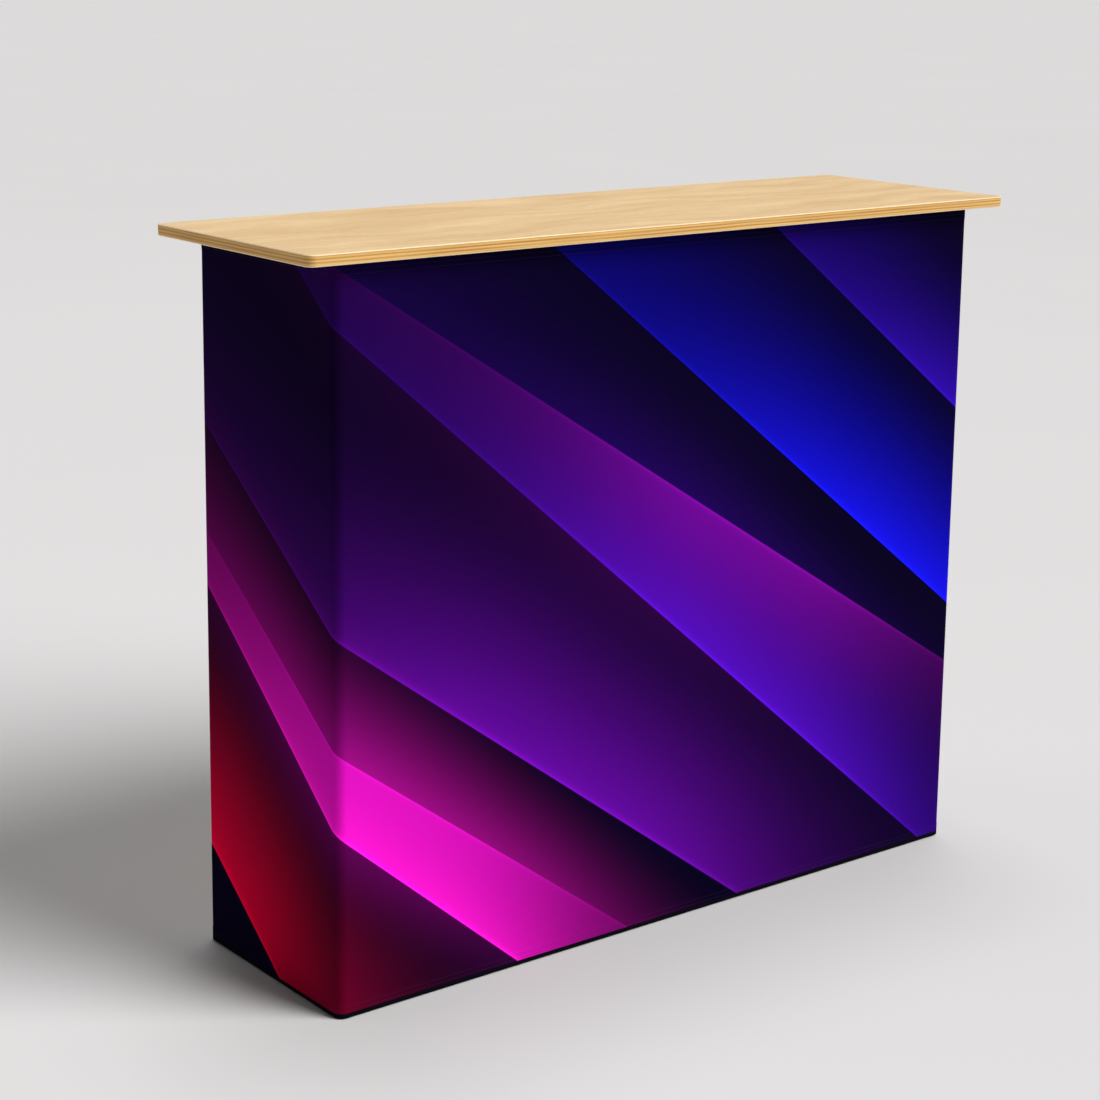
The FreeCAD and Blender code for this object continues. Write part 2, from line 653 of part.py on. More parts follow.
def printed_cover():
    """One strip of cloth: round the back left post, left end, front, right end, back right post.

    The outline is two concentric runs of lines and arcs, closed by a short line at the inner
    side of each back post. The return there is cut out round the back rails.
    """
    body = doc.addObject("PartDesign::Body", "printed_cover")
    plan = sketch_on(body, "XY_Plane")
    px, py = value(POST_X), value(POST_Y)
    corners = (
        ("back_left", -1, 1, 0, 180), ("front_left", -1, -1, 180, 270),
        ("front_right", 1, -1, 270, 360), ("back_right", 1, 1, 0, 180),
    )
    runs = []
    for radius_expression in (COVER_OUTER_R, COVER_INNER_R):
        radius = value(radius_expression)
        arcs = {}
        for name, sx, sy, first, last in corners:
            arcs[name] = arc(plan, sx * px, sy * py, radius, first, last)
        left = line(plan, -px - radius, py, -px - radius, -py)
        front = line(plan, -px, -py - radius, px, -py - radius)
        right = line(plan, px + radius, -py, px + radius, py)
        for one, its_point, other, other_point in (
            (arcs["back_left"], END, left, START), (left, END, arcs["front_left"], START),
            (arcs["front_left"], END, front, START), (front, END, arcs["front_right"], START),
            (arcs["front_right"], END, right, START), (right, END, arcs["back_right"], START),
        ):
            relate(plan, "Tangent", one, its_point, other, other_point)
        for name in arcs:
            dimension(plan, "Radius", radius_expression, arcs[name])
        runs.append(arcs)
    outer, inner = runs
    for name, sx, sy, first, last in corners:
        locate(plan, outer[name], CENTRE, f"{sx} * {POST_X}", f"{sy} * {POST_Y}")
        relate(plan, "Coincident", outer[name], CENTRE, inner[name], CENTRE)
    for name, sx, point in (("back_left", -1, START), ("back_right", 1, END)):
        outer_x = sx * (px - value(COVER_OUTER_R))
        inner_x = sx * (px - value(COVER_INNER_R))
        cap = line(plan, outer_x, py, inner_x, py)
        relate(plan, "Coincident", cap, START, outer[name], point)
        relate(plan, "Coincident", cap, END, inner[name], point)
        relate(plan, "Horizontal", cap)
        relate(plan, "Horizontal", outer[name], point, outer[name], CENTRE)
    height = f"({TOP_UNDERSIDE} - Sizes.cover_top_gap - Sizes.cover_floor_gap)"
    pad(body, plan, height)
    cut_outs = sketch_on(body, "XZ_Plane")
    low_end = f"({LOW_Z} + {TUBE_R} + Sizes.relief_gap - Sizes.cover_floor_gap)"
    high_end = f"({HIGH_Z} - {TUBE_R} - Sizes.relief_gap - Sizes.cover_floor_gap)"
    for side, sx in SIDES:
        outer_x = f"{sx} * ({POST_X} - Sizes.relief_start)"
        inner_x = f"{sx} * ({POST_X} - 2 * {COVER_OUTER_R})"
        rectangle(cut_outs, outer_x, f"-{low_end}", inner_x, low_end)
        rectangle(cut_outs, outer_x, high_end, inner_x, f"2 * {height} - {high_end}")
    pocket(body, cut_outs, "Sizes.body_depth")
    place(body, z="Sizes.cover_floor_gap")
    return node(body, "printed_cover")


printed_cover()


# Worktop


def edges_where(shape, test):
    return [f"Edge{i}" for i, edge in enumerate(shape.Edges, start=1) if test(edge)]


def is_upright(edge):
    return abs(edge.tangentAt(edge.FirstParameter).z) > 0.99


def is_level(edge):
    return edge.BoundBox.ZLength < 1e-6


def corner_circles(sketch, diameter, x, y):
    for side, sx in SIDES:
        for end, sy in ENDS:
            circle(sketch, diameter, f"{sx} * {x}", f"{sy} * {y}")


def worktop():
    """Board with rounded corners and eased edges, peg holes and screw holes from below."""
    body = doc.addObject("PartDesign::Body", "worktop")
    half_length = "(Sizes.body_width / 2 + Sizes.end_overhang)"
    half_depth = "(Sizes.body_depth / 2 + Sizes.side_overhang)"
    outline = sketch_on(body, "XY_Plane")
    rectangle(outline, f"-{half_length}", f"-{half_depth}", half_length, half_depth)
    board = pad(body, outline, "Sizes.top_thickness")
    doc.recompute()
    rounded = fillet(body, board, edges_where(board.Shape, is_upright), "Sizes.top_corner_radius")
    fillet(body, rounded, edges_where(rounded.Shape, is_level), "Sizes.top_edge_radius")
    pegs = sketch_on(body, "XY_Plane")
    corner_circles(pegs, "Sizes.peg_diameter + 2 * Sizes.peg_clearance", POST_X, POST_Y)
    pocket(body, pegs, "Sizes.peg_length + Sizes.peg_clearance", reverse=True)
    screws = sketch_on(body, "XY_Plane")
    hole = "Sizes.screw_diameter + 2 * Sizes.screw_clearance"
    corner_circles(screws, hole, "Sizes.catch_spacing / 2", CATCH_Y)
    pocket(body, screws, "Sizes.screw_entry + Sizes.screw_end_gap", reverse=True)
    place(body, z=TOP_UNDERSIDE)
    return node(body, "worktop")


worktop()


# Shelf


def shelf():
    """Board that lies on the two shelf rails, notched round the covered posts and the saddles."""
    body = doc.addObject("PartDesign::Body", "shelf")
    half_length = "(Sizes.body_width / 2 - Sizes.cover_thickness - Sizes.shelf_gap)"
    half_depth = "(Sizes.body_depth / 2 - Sizes.cover_thickness - Sizes.shelf_gap)"
    notch_x = f"({POST_X} - {COVER_OUTER_R} - Sizes.shelf_notch_gap)"
    notch_y = f"({POST_Y} - {SADDLE_R} - {RIVET_TOP} - Sizes.shelf_notch_gap)"
    outline = sketch_on(body, "XY_Plane")
    rectangle(outline, f"-{half_length}", f"-{half_depth}", half_length, half_depth)
    pad(body, outline, "Sizes.shelf_thickness")
    notches = sketch_on(body, "XY_Plane")
    for side, sx in SIDES:
        for end, sy in ENDS:
            rectangle(
                notches, f"{sx} * {notch_x}", f"{sy} * {notch_y}",
                f"{sx} * Sizes.body_width / 2", f"{sy} * Sizes.body_depth / 2",
            )
    notched = pocket(body, notches, "Sizes.shelf_thickness", reverse=True)
    doc.recompute()
    fillet(body, notched, edges_where(notched.Shape, is_level), "Sizes.shelf_edge_radius")
    place(body, z="Sizes.shelf_height - Sizes.shelf_thickness")
    return node(body, "shelf")


shelf()


# Turn catches under the worktop and their pivot screws


def tapered_arm(sketch, tip_y):
    """Outline of an arm from the boss circle to a smaller round end centred on own Y."""
    boss_r, tip_r = "(Sizes.catch_boss_diameter / 2)", "(Sizes.catch_tip_diameter / 2)"
    big, small, far = value(boss_r), value(tip_r), value(tip_y)
    sign = 1 if far > 0 else -1
    boss = arc(sketch, 0, 0, big, 180, 360) if sign > 0 else arc(sketch, 0, 0, big, 0, 180)
    tip = arc(sketch, 0, far, small, 0, 180) if sign > 0 else arc(sketch, 0, far, small, 180, 360)
    first = line(sketch, sign * big, 0, sign * small, far)
    second = line(sketch, -sign * small, far, -sign * big, 0)
    relate(sketch, "Tangent", boss, END, first, START)
    relate(sketch, "Tangent", first, END, tip, START)
    relate(sketch, "Tangent", tip, END, second, START)
    relate(sketch, "Tangent", second, END, boss, START)
    locate(sketch, boss, CENTRE)
    locate(sketch, tip, CENTRE, "0", tip_y)
    dimension(sketch, "Radius", boss_r, boss)
    dimension(sketch, "Radius", tip_r, tip)


def is_rim(edge, level, bore):
    """True for the edges of a face at one level that are not the rim of its bore."""
    on_face = abs(edge.BoundBox.ZMax - level) < 1e-6
    round_bore = hasattr(edge.Curve, "Radius") and edge.Curve.Radius < bore
    return on_face and not round_bore


def turn_catch(label, x, y, outward):
    """Tall boss under the worktop with an arm that passes below the rail and a finger lever.

    Own Z points down from the worktop, own Y towards the rail.
    """
    body = doc.addObject("PartDesign::Body", label)
    boss = sketch_on(body, "XY_Plane")
    circle(boss, "Sizes.catch_boss_diameter")
    pad(body, boss, f"{CATCH_HEIGHT} + Sizes.catch_arm_thickness")
    for tip_y in ("Sizes.catch_inset", "-(Sizes.catch_lever - Sizes.catch_tip_diameter / 2)"):
        arm = sketch_on(body, "XY_Plane")
        tapered_arm(arm, tip_y)
        arm.setExpression("AttachmentOffset.Base.z", CATCH_HEIGHT)
        pad(body, arm, "Sizes.catch_arm_thickness")
    bore = sketch_on(body, "XY_Plane")
    circle(bore, "Sizes.screw_diameter + 2 * Sizes.screw_clearance")
    drilled = pocket(body, bore, f"{CATCH_HEIGHT} + 2 * Sizes.catch_arm_thickness", reverse=True)
    doc.recompute()
    low_face = value(CATCH_HEIGHT) + value("Sizes.catch_arm_thickness")
    rim = [
        name for name in edges_where(drilled.Shape, is_level)
        if is_rim(drilled.Shape.getElement(name), low_face, value("Sizes.screw_diameter"))
    ]
    fillet(body, drilled, rim, "Sizes.catch_edge_radius")
    place(body, x, y, TOP_UNDERSIDE, axes((0, 0, -1), outward))
    return node(body, label)


def pivot_screw(x, y):
    """Shank through the catch into the worktop, and a head with a hexagon socket under it."""
    length = f"({CATCH_HEIGHT} + Sizes.catch_arm_thickness + Sizes.screw_end_gap)"
    shank = cylinder(
        "Sizes.screw_diameter / 2", f"{length} + Sizes.screw_entry", z="-Sizes.screw_entry",
    )
    head_r = "Sizes.screw_head_diameter / 2"
    head = cone(head_r, f"{head_r} * Sizes.head_taper", "Sizes.screw_head_height", z=length)
    socket_floor = f"{length} + Sizes.screw_head_height - Sizes.socket_depth"
    socket = hexagon_prism("Sizes.socket_width", "2 * Sizes.socket_depth", socket_floor)
    screw = cut(fused([shank, head]), socket)
    return place(screw, x, y, TOP_UNDERSIDE, axes((0, 0, -1), (0, 1, 0)))


screws = []
for end, sy in ENDS:
    for side, sx in SIDES:
        catch_x = f"{sx} * Sizes.catch_spacing / 2"
        catch_y = f"{sy} * {CATCH_Y}"
        turn_catch(f"turn_catch_{end}_{side}", catch_x, catch_y, (0, sy, 0))
        screws.append(pivot_screw(catch_x, catch_y))
node(group(screws), "catch_screws")


# Check every piece and write it to its own file

doc.recompute()
faulty = [item.Label for item in doc.Objects if "Invalid" in item.State or "Error" in item.State]
if faulty:
    raise RuntimeError(f"features in error: {faulty}")
os.makedirs("parts", exist_ok=True)
for piece in nodes:
    shape = piece.Shape
    if shape.isNull() or not shape.isValid() or not shape.Solids:
        raise RuntimeError(f"bad shape: {piece.Label}")
    shape.exportStep(f"parts/{piece.Label}.step")
    print(f"{piece.Label}: {len(shape.Solids)} solid, {shape.Volume:.1f} mm3")
print(len(nodes), "pieces written")
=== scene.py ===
# %% [markdown]
# A display counter of the kind that stands at a fair: a printed stretch cover drawn tight over
# a tube frame, open at the back, under a plywood worktop. The tubes, connectors and boards come
# from the CAD model as they are. This lesson dresses them with finishes and makes the cloth, its
# stitching, the leaf springs and the heads of screws and rivets, which need a finer or a softer
# surface than a solid has.

import json
import math

import bpy
import numpy as np
from mathutils import Matrix, Vector


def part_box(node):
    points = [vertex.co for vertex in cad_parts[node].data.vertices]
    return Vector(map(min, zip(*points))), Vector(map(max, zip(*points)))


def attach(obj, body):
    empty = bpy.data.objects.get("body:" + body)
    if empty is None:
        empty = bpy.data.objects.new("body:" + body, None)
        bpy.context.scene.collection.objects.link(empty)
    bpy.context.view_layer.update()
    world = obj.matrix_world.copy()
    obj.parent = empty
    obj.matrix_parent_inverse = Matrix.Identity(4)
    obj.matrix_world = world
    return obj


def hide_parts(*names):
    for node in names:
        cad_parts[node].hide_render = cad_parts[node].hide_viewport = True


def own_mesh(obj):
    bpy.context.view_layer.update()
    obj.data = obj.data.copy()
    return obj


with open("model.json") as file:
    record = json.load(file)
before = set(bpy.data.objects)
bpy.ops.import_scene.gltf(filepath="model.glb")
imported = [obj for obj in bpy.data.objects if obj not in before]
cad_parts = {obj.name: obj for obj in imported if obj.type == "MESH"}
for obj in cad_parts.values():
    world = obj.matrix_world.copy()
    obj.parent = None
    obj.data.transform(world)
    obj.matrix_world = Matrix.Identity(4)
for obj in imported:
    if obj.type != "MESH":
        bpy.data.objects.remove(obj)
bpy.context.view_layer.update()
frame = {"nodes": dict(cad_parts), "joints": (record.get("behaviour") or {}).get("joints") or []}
nodes = frame["nodes"]

# %% [markdown]
# Every measure that the new pieces need is read back from the CAD nodes, so that the cloth
# still fits if the frame is made in another size. The cover's box gives the outside, a post
# gives the tube, and the distance between the two gives the round of the corners.

# %% Measures of the frame
COUNTER = "counter"
QUARTER = math.pi / 2
UP = np.array([0.0, 0.0, 1.0])


def box_of(node):
    """Lower and upper corner of a CAD node's box, as arrays."""
    return tuple(np.array(corner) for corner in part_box(node))


def middle_of(node, axis):
    """Middle of a CAD node's box along an axis: 0 is X, 1 is Y and 2 is Z."""
    return float(np.mean([corner[axis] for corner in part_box(node)]))


cover_low, cover_high = box_of("printed_cover")
z_low, z_high = float(cover_low[2]), float(cover_high[2])
post_low, post_high = box_of("post_front_left")
tube_r = (post_high[0] - post_low[0]) / 2
post_x, post_y = -(post_low + post_high)[:2] / 2
corner_r = cover_high[0] - post_x
low_rail_z = middle_of("bottom_rail_front", 2)
high_rail_z = middle_of("top_rail_front", 2)
shelf_rail_z = middle_of("shelf_rail_left", 2)
print("posts at", post_x, post_y, "corner radius", corner_r)

# %% [markdown]
# A shape here is a grid of points worked out by numpy. Neighbouring points make the four
# corners of a face, and a mask can leave faces out. One helper turns points and faces into a
# piece that rides on the counter.

# %% Grid to mesh
SHARP_FROM = math.radians(70)


def grid_faces(rows, columns, keep):
    """Corner numbers of the kept faces of a rows by columns grid, counted row by row."""
    index = np.arange(rows * columns).reshape(rows, columns)
    quads = np.stack([index[:-1, :-1], index[:-1, 1:], index[1:, 1:], index[1:, :-1]], axis=-1)
    return quads[keep]


def ring_faces(rings, around):
    """Faces between neighbouring rings of as many points, each ring closed on itself."""
    index = np.arange(rings * around).reshape(rings, around)
    beside = np.roll(index, -1, axis=1)
    return np.stack([index[:-1], index[1:], beside[1:], beside[:-1]], axis=-1).reshape(-1, 4)


def finish_piece(name, points, faces, material):
    """Smooth mesh with edges kept sharp from 70 degrees, riding on the counter."""
    mesh = bpy.data.meshes.new(name)
    mesh.from_pydata(points.tolist(), [], faces)
    mesh.update()
    mesh.shade_smooth()
    mesh.set_sharp_from_angle(angle=SHARP_FROM)
    mesh.materials.append(material)
    piece = bpy.data.objects.new(name, mesh)
    bpy.context.scene.collection.objects.link(piece)
    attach(piece, COUNTER)
    print(name, len(points), "points,", len(faces), "faces")
    return piece


# %% [markdown]
# Materials are node trees. A few small helpers keep them readable: one adds a node and fills or
# links its sockets, others stand for one kind of sum each, and the last two start a group with
# named inputs and outputs and place it. A pattern that several finishes share, such as grain, is
# built once as a group and placed with its own values in each of them.

# %% Node helpers
FLOAT, COLOUR, VECTOR = "NodeSocketFloat", "NodeSocketColor", "NodeSocketVector"
# the colour mix's factor, first and second colour, and its result, by number
MIX_FACTOR, MIX_FIRST, MIX_SECOND, MIX_RESULT = 0, 6, 7, 2


def fill(tree, node, sockets):
    """Fill a node's inputs: a value that is itself a socket is linked, any other is typed in."""
    for key, source in sockets.items():
        if isinstance(source, bpy.types.NodeSocket):
            tree.links.new(source, node.inputs[key])
        else:
            node.inputs[key].default_value = source
    return node


def add(tree, kind, sockets=None, **settings):
    """New node of a kind, with its settings made and its inputs filled."""
    node = tree.nodes.new(kind)
    for name, setting in settings.items():
        setattr(node, name, setting)
    return fill(tree, node, sockets or {})


def maths(tree, operation, first, second=0.0, clamp=False):
    """Result of one operation on plain values."""
    node = add(tree, "ShaderNodeMath", {0: first, 1: second}, operation=operation, use_clamp=clamp)
    return node.outputs[0]


def vectors(tree, operation, first, second):
    """Result of one operation on vectors; SCALE takes a plain value as its second."""
    key = "Scale" if operation == "SCALE" else 1
    node = add(tree, "ShaderNodeVectorMath", {0: first, key: second}, operation=operation)
    return node.outputs["Value" if operation == "DOT_PRODUCT" else "Vector"]


def weigh(tree, terms, start=0.0):
    """Sum of a start value and of every value times its weight."""
    total = start
    for value, weight in terms:
        sockets = {0: value, 1: weight, 2: total}
        total = add(tree, "ShaderNodeMath", sockets, operation="MULTIPLY_ADD").outputs[0]
    return total


def ramp(tree, value, begin, end, low=0.0, high=1.0):
    """Straight rise from low, where the value is begin, to high, where it is end."""
    sockets = {0: value, 1: begin, 2: end, 3: low, 4: high}
    return add(tree, "ShaderNodeMapRange", sockets).outputs[0]


def blend_colours(tree, factor, first, second):
    """First colour where the factor is 0, second where it is 1."""
    sockets = {MIX_FACTOR: factor, MIX_FIRST: first, MIX_SECOND: second}
    return add(tree, "ShaderNodeMix", data_type="RGBA", sockets=sockets).outputs[MIX_RESULT]


def bump(tree, height, strength, distance):
    """Normal of a relief whose height runs from 0 to 1 over a distance in metres."""
    sockets = {"Height": height, "Strength": strength, "Distance": distance}
    return add(tree, "ShaderNodeBump", sockets).outputs["Normal"]


def parts_of(tree, vector):
    """X, Y and Z of a vector."""
    return add(tree, "ShaderNodeSeparateXYZ", {0: vector}).outputs


def object_place(tree):
    """Place on the object, in metres."""
    return add(tree, "ShaderNodeTexCoord").outputs["Object"]


def new_group(name, inputs, outputs):
    """Empty group: its tree, the values given to it and the results it has to fill."""
    tree = bpy.data.node_groups.new(name, "ShaderNodeTree")
    for label, kind, default in inputs:
        socket = tree.interface.new_socket(name=label, in_out="INPUT", socket_type=kind)
        if default is not None:
            socket.default_value = default
    for label, kind in outputs:
        tree.interface.new_socket(name=label, in_out="OUTPUT", socket_type=kind)
    entry = tree.nodes.new("NodeGroupInput")
    result = tree.nodes.new("NodeGroupOutput")
    return tree, entry.outputs, result.inputs


def place_group(tree, group, sockets):
    """Results of a group placed in a tree with these inputs."""
    return add(tree, "ShaderNodeGroup", sockets, node_tree=group).outputs


def new_material(name, **plain):
    """Material with a Principled shader; plain values go straight on its sockets."""
    material = bpy.data.materials.new(name)
    material.use_nodes = True
    tree = material.node_tree
    shader = tree.nodes["Principled BSDF"]
    for label, setting in plain.items():
        shader.inputs[label.replace("_", " ")].default_value = setting
    return material, tree, shader.inputs


# %% [markdown]
# The first shared effect is a streaked grain: noise that is squeezed across one direction and
# drawn out along it. On the tubes it is the die lines of an extrusion, on the boards it is the
# fibre of the veneer, which also wanders from side to side. The group only gives a value
# between 0 and 1; each material decides what colour, gloss or relief it makes of it.

# %% Shared effect: streaks
HALF_GREY = (0.5, 0.5, 0.5)
streaks, given, out = new_group(
    "streaks",
    [
        ("Position", VECTOR, None), ("Stretch", VECTOR, (1, 1, 1)), ("Detail", FLOAT, 4.0),
        ("Contrast", FLOAT, 1.0), ("Wander", FLOAT, 0.0),
    ],
    [("Streak", FLOAT)],
)
sockets = {"Vector": given["Position"], "Scale": 4.0, "Detail": 2.0}
sway = add(streaks, "ShaderNodeTexNoise", sockets).outputs["Color"]
to_side = vectors(streaks, "SUBTRACT", sway, HALF_GREY)
moved = vectors(streaks, "SCALE", to_side, given["Wander"])
wandering = vectors(streaks, "ADD", given["Position"], moved)
stretched = vectors(streaks, "MULTIPLY", wandering, given["Stretch"])
sockets = {"Vector": stretched, "Scale": 1.0, "Detail": given["Detail"]}
noise = add(streaks, "ShaderNodeTexNoise", sockets).outputs[0]
centred = maths(streaks, "SUBTRACT", noise, 0.5)
spread = maths(streaks, "MULTIPLY", centred, given["Contrast"])
streaks.links.new(maths(streaks, "ADD", spread, 0.5, clamp=True), out["Streak"])


def grain(tree, where, stretch, detail=4.0, contrast=1.0, wander=0.0):
    """Streaks placed in a material, with so many waves per metre along X, Y and Z."""
    sockets = {"Position": where, "Stretch": stretch, "Detail": detail}
    return place_group(tree, streaks, sockets | {"Contrast": contrast, "Wander": wander})["Streak"]


print("group", streaks.name)

# %% [markdown]
# The second shared effect is the fine pebble of a moulded or sprayed surface. It has two sizes:
# fine cells for the spark-eroded mould, and coarse noise for the marks of handling.

# %% Shared effect: pebble
pebble, given, out = new_group(
    "pebble",
    [("Position", VECTOR, None), ("Grain per metre", FLOAT, 1500.0), ("Marks per metre", FLOAT, 40.0)],
    [("Height", FLOAT), ("Mark", FLOAT)],
)
sockets = {"Vector": given["Position"], "Scale": given["Grain per metre"]}
fine = add(pebble, "ShaderNodeTexVoronoi", sockets)
sockets = {"Vector": given["Position"], "Scale": given["Marks per metre"], "Detail": 5.0}
coarse = add(pebble, "ShaderNodeTexNoise", sockets)
pebble.links.new(fine.outputs["Distance"], out["Height"])
pebble.links.new(coarse.outputs[0], out["Mark"])
print("group", pebble.name)

# %% [markdown]
# Knitted display cloth shows fine upright ribs of loops when you stand close. Two waves across
# each other, in the cloth's own flat coordinates, give that relief. The same group serves the
# printed face and the pale reverse, each with its own pitch.

# %% Shared effect: knit
knit, given, out = new_group(
    "knit",
    [("Cloth", VECTOR, None), ("Ribs per metre", FLOAT, 1100.0), ("Rows per metre", FLOAT, 1500.0)],
    [("Height", FLOAT)],
)


def wave_of(distance, per_metre):
    """Sine of a distance in metres, with so many whole waves to the metre."""
    turns = maths(knit, "MULTIPLY", per_metre, math.tau)
    return maths(knit, "SINE", maths(knit, "MULTIPLY", distance, turns))


flat = parts_of(knit, given["Cloth"])
rib = wave_of(flat[0], given["Ribs per metre"])
row = wave_of(flat[1], given["Rows per metre"])
knit.links.new(weigh(knit, [(rib, 0.25), (row, 0.25)], 0.5), out["Height"])
print("group", knit.name)

# %% [markdown]
# The print is a plain design of slanting light beams on a night-blue ground, worked out in the
# cloth's flat coordinates, so that it runs on round the corner as a real print does. One beam
# is a group: a sharp bright edge on a straight line, a fade to one side of it, and a swell
# along it. Distance across and along the beam are dot products with two directions.

# %% Shared effect: one light beam
EDGE_SHARPNESS = 700.0
GLOW_POWER, LINE_POWER, LINE_GAIN, SWELL_POWER = 2.2, 110.0, 1.3, 3.0
beam, given, out = new_group(
    "light_beam",
    [
        ("Cloth", VECTOR, None), ("Across", VECTOR, (0, 1, 0)), ("Along", VECTOR, (1, 0, 0)),
        ("Edge at", FLOAT, 0.0), ("Fade over", FLOAT, 0.2), ("Swell at", FLOAT, 0.0),
        ("Swell over", FLOAT, 0.5), ("Colour", COLOUR, (1, 1, 1, 1)),
    ],
    [("Light", COLOUR)],
)
across = vectors(beam, "DOT_PRODUCT", given["Cloth"], given["Across"])
along = vectors(beam, "DOT_PRODUCT", given["Cloth"], given["Along"])
depth = maths(beam, "SUBTRACT", across, given["Edge at"])
inside = maths(beam, "MULTIPLY", depth, EDGE_SHARPNESS, clamp=True)
faded = maths(beam, "DIVIDE", depth, given["Fade over"], clamp=True)
left_over = maths(beam, "SUBTRACT", 1.0, faded, clamp=True)
glow = maths(beam, "POWER", left_over, GLOW_POWER)
line = maths(beam, "POWER", left_over, LINE_POWER)
from_swell = maths(beam, "SUBTRACT", along, given["Swell at"])
offset = maths(beam, "ABSOLUTE", maths(beam, "DIVIDE", from_swell, given["Swell over"]))
swell = maths(beam, "DIVIDE", 1.0, maths(beam, "ADD", 1.0, maths(beam, "POWER", offset, SWELL_POWER)))
shine = maths(beam, "MULTIPLY", weigh(beam, [(line, LINE_GAIN)], glow), inside)
strength = maths(beam, "MULTIPLY", shine, swell)
beam.links.new(vectors(beam, "SCALE", given["Colour"], strength), out["Light"])
print("group", beam.name)

# %% [markdown]
# The whole print is a group too, because the reverse of the cloth shows a faint ghost of it.
# Each row of the table is one beam: slope in degrees, edge and fade, swell and its reach along
# the beam, and the ink. Beams are added, as light would be, to a ground that drifts slowly
# between ink blue and aubergine.

# %% Shared effect: the print
BEAMS = (
    (52, 0.14, 0.32, -0.02, 0.24, (0.95, 0.000, 0.040, 1)),
    (50, 0.42, 0.25, 0.22, 0.40, (0.98, 0.008, 0.62, 1)),
    (54, 0.62, 0.34, 0.45, 0.45, (0.130, 0.002, 0.36, 1)),
    (50, 0.92, 0.30, 0.60, 0.45, (0.070, 0.003, 0.50, 1)),
    (52, 1.20, 0.28, 0.85, 0.50, (0.006, 0.006, 0.85, 1)),
    (52, 1.44, 0.22, 0.95, 0.50, (0.030, 0.003, 0.45, 1)),
    (238, -1.02, 0.26, -0.62, 0.35, (0.160, 0.001, 0.22, 1)),
    (234, -0.50, 0.20, -0.20, 0.30, (0.400, 0.002, 0.30, 1)),
)
INK_BLUE, AUBERGINE = (0.0010, 0.0006, 0.0075, 1), (0.004, 0.0011, 0.021, 1)
light_print, given, out = new_group("light_print", [("Cloth", VECTOR, None)], [("Ink", COLOUR)])
sockets = {"Vector": given["Cloth"], "Scale": 2.2, "Detail": 1.0}
drift = add(light_print, "ShaderNodeTexNoise", sockets).outputs[0]
ink = blend_colours(light_print, drift, INK_BLUE, AUBERGINE)
for slope, edge, fade, swell_at, swell_over, colour in BEAMS:
    turn = math.radians(slope)
    light = place_group(light_print, beam, {
        "Cloth": given["Cloth"], "Across": (math.cos(turn), math.sin(turn), 0),
        "Along": (math.sin(turn), -math.cos(turn), 0), "Edge at": edge, "Fade over": fade,
        "Swell at": swell_at, "Swell over": swell_over, "Colour": colour,
    })
    ink = vectors(light_print, "ADD", ink, light["Light"])
light_print.links.new(ink, out["Ink"])
print("group", light_print.name, "with", len(BEAMS), "beams")

# %% [markdown]
# Two cloth materials follow. The face takes the print, quite without gloss, and along its lower
# edge, where it meets the floor, a black band of painted shade; the reverse is the white yarn with
# the print showing through a little. Both read the UV map, whose unit is a metre of flat cloth,
# and both have painted shade between the ribs of the knit, the face also a painted highlight on
# them. Light that bounces off the face on to the floor is toned down to a greyer ink, because the
# floor in the picture stays neutral right up to the print.

# %% Cloth materials
CLOTH_UV = "cloth"
# height and colour of a black band of painted shade at the foot of the cloth, where it meets the floor
FLOOR_SHADE_BAND, FLOOR_SHADE_BLACK = 0.006, (0.004, 0.003, 0.007, 1)
# the face's colour is scaled down between the ribs and up on them: painted shade and a painted highlight
PAINTED_SHADE_BETWEEN_RIBS, PAINTED_LIGHT_ON_RIBS = 0.80, 1.16
BOUNCE_TONED, BOUNCE_INK = 0.75, (0.02, 0.02, 0.02, 1)
# the first yarn colour is painted shade between the ribs of the reverse, the second the yarn's own white
YARN_PAINTED_SHADE, YARN_WHITE = (0.56, 0.56, 0.59, 1), (0.68, 0.68, 0.71, 1)
SHOWS_THROUGH = 0.28

cloth_face, tree, shader = new_material("cloth_face", Roughness=0.78, Specular_IOR_Level=0.01)
flat = add(tree, "ShaderNodeUVMap", uv_map=CLOTH_UV).outputs[0]
printed = place_group(tree, light_print, {"Cloth": flat})["Ink"]
# painted shade: the lowest 6 mm of the face are black, where the cloth meets the floor
in_floor_shade = maths(tree, "LESS_THAN", parts_of(tree, flat)[1], z_low + FLOOR_SHADE_BAND)
print_and_floor_shade = blend_colours(tree, in_floor_shade, printed, FLOOR_SHADE_BLACK)
relief = place_group(tree, knit, {"Cloth": flat})["Height"]
# painted shade between the ribs and a painted highlight on them
rib_light_and_shade = vectors(tree, "SCALE", print_and_floor_shade, ramp(tree, relief, 0.0, 1.0, PAINTED_SHADE_BETWEEN_RIBS, PAINTED_LIGHT_ON_RIBS))
diffuse_ray = add(tree, "ShaderNodeLightPath").outputs["Is Diffuse Ray"]
bounced = maths(tree, "MULTIPLY", diffuse_ray, BOUNCE_TONED)
tree.links.new(blend_colours(tree, bounced, rib_light_and_shade, BOUNCE_INK), shader["Base Color"])
tree.links.new(bump(tree, relief, 0.25, 0.0002), shader["Normal"])

cloth_reverse, tree, shader = new_material("cloth_reverse", Roughness=0.85, Specular_IOR_Level=0.10)
flat = add(tree, "ShaderNodeUVMap", uv_map=CLOTH_UV).outputs[0]
ghost = place_group(tree, light_print, {"Cloth": flat})["Ink"]
relief = place_group(tree, knit, {"Cloth": flat, "Ribs per metre": 900.0})["Height"]
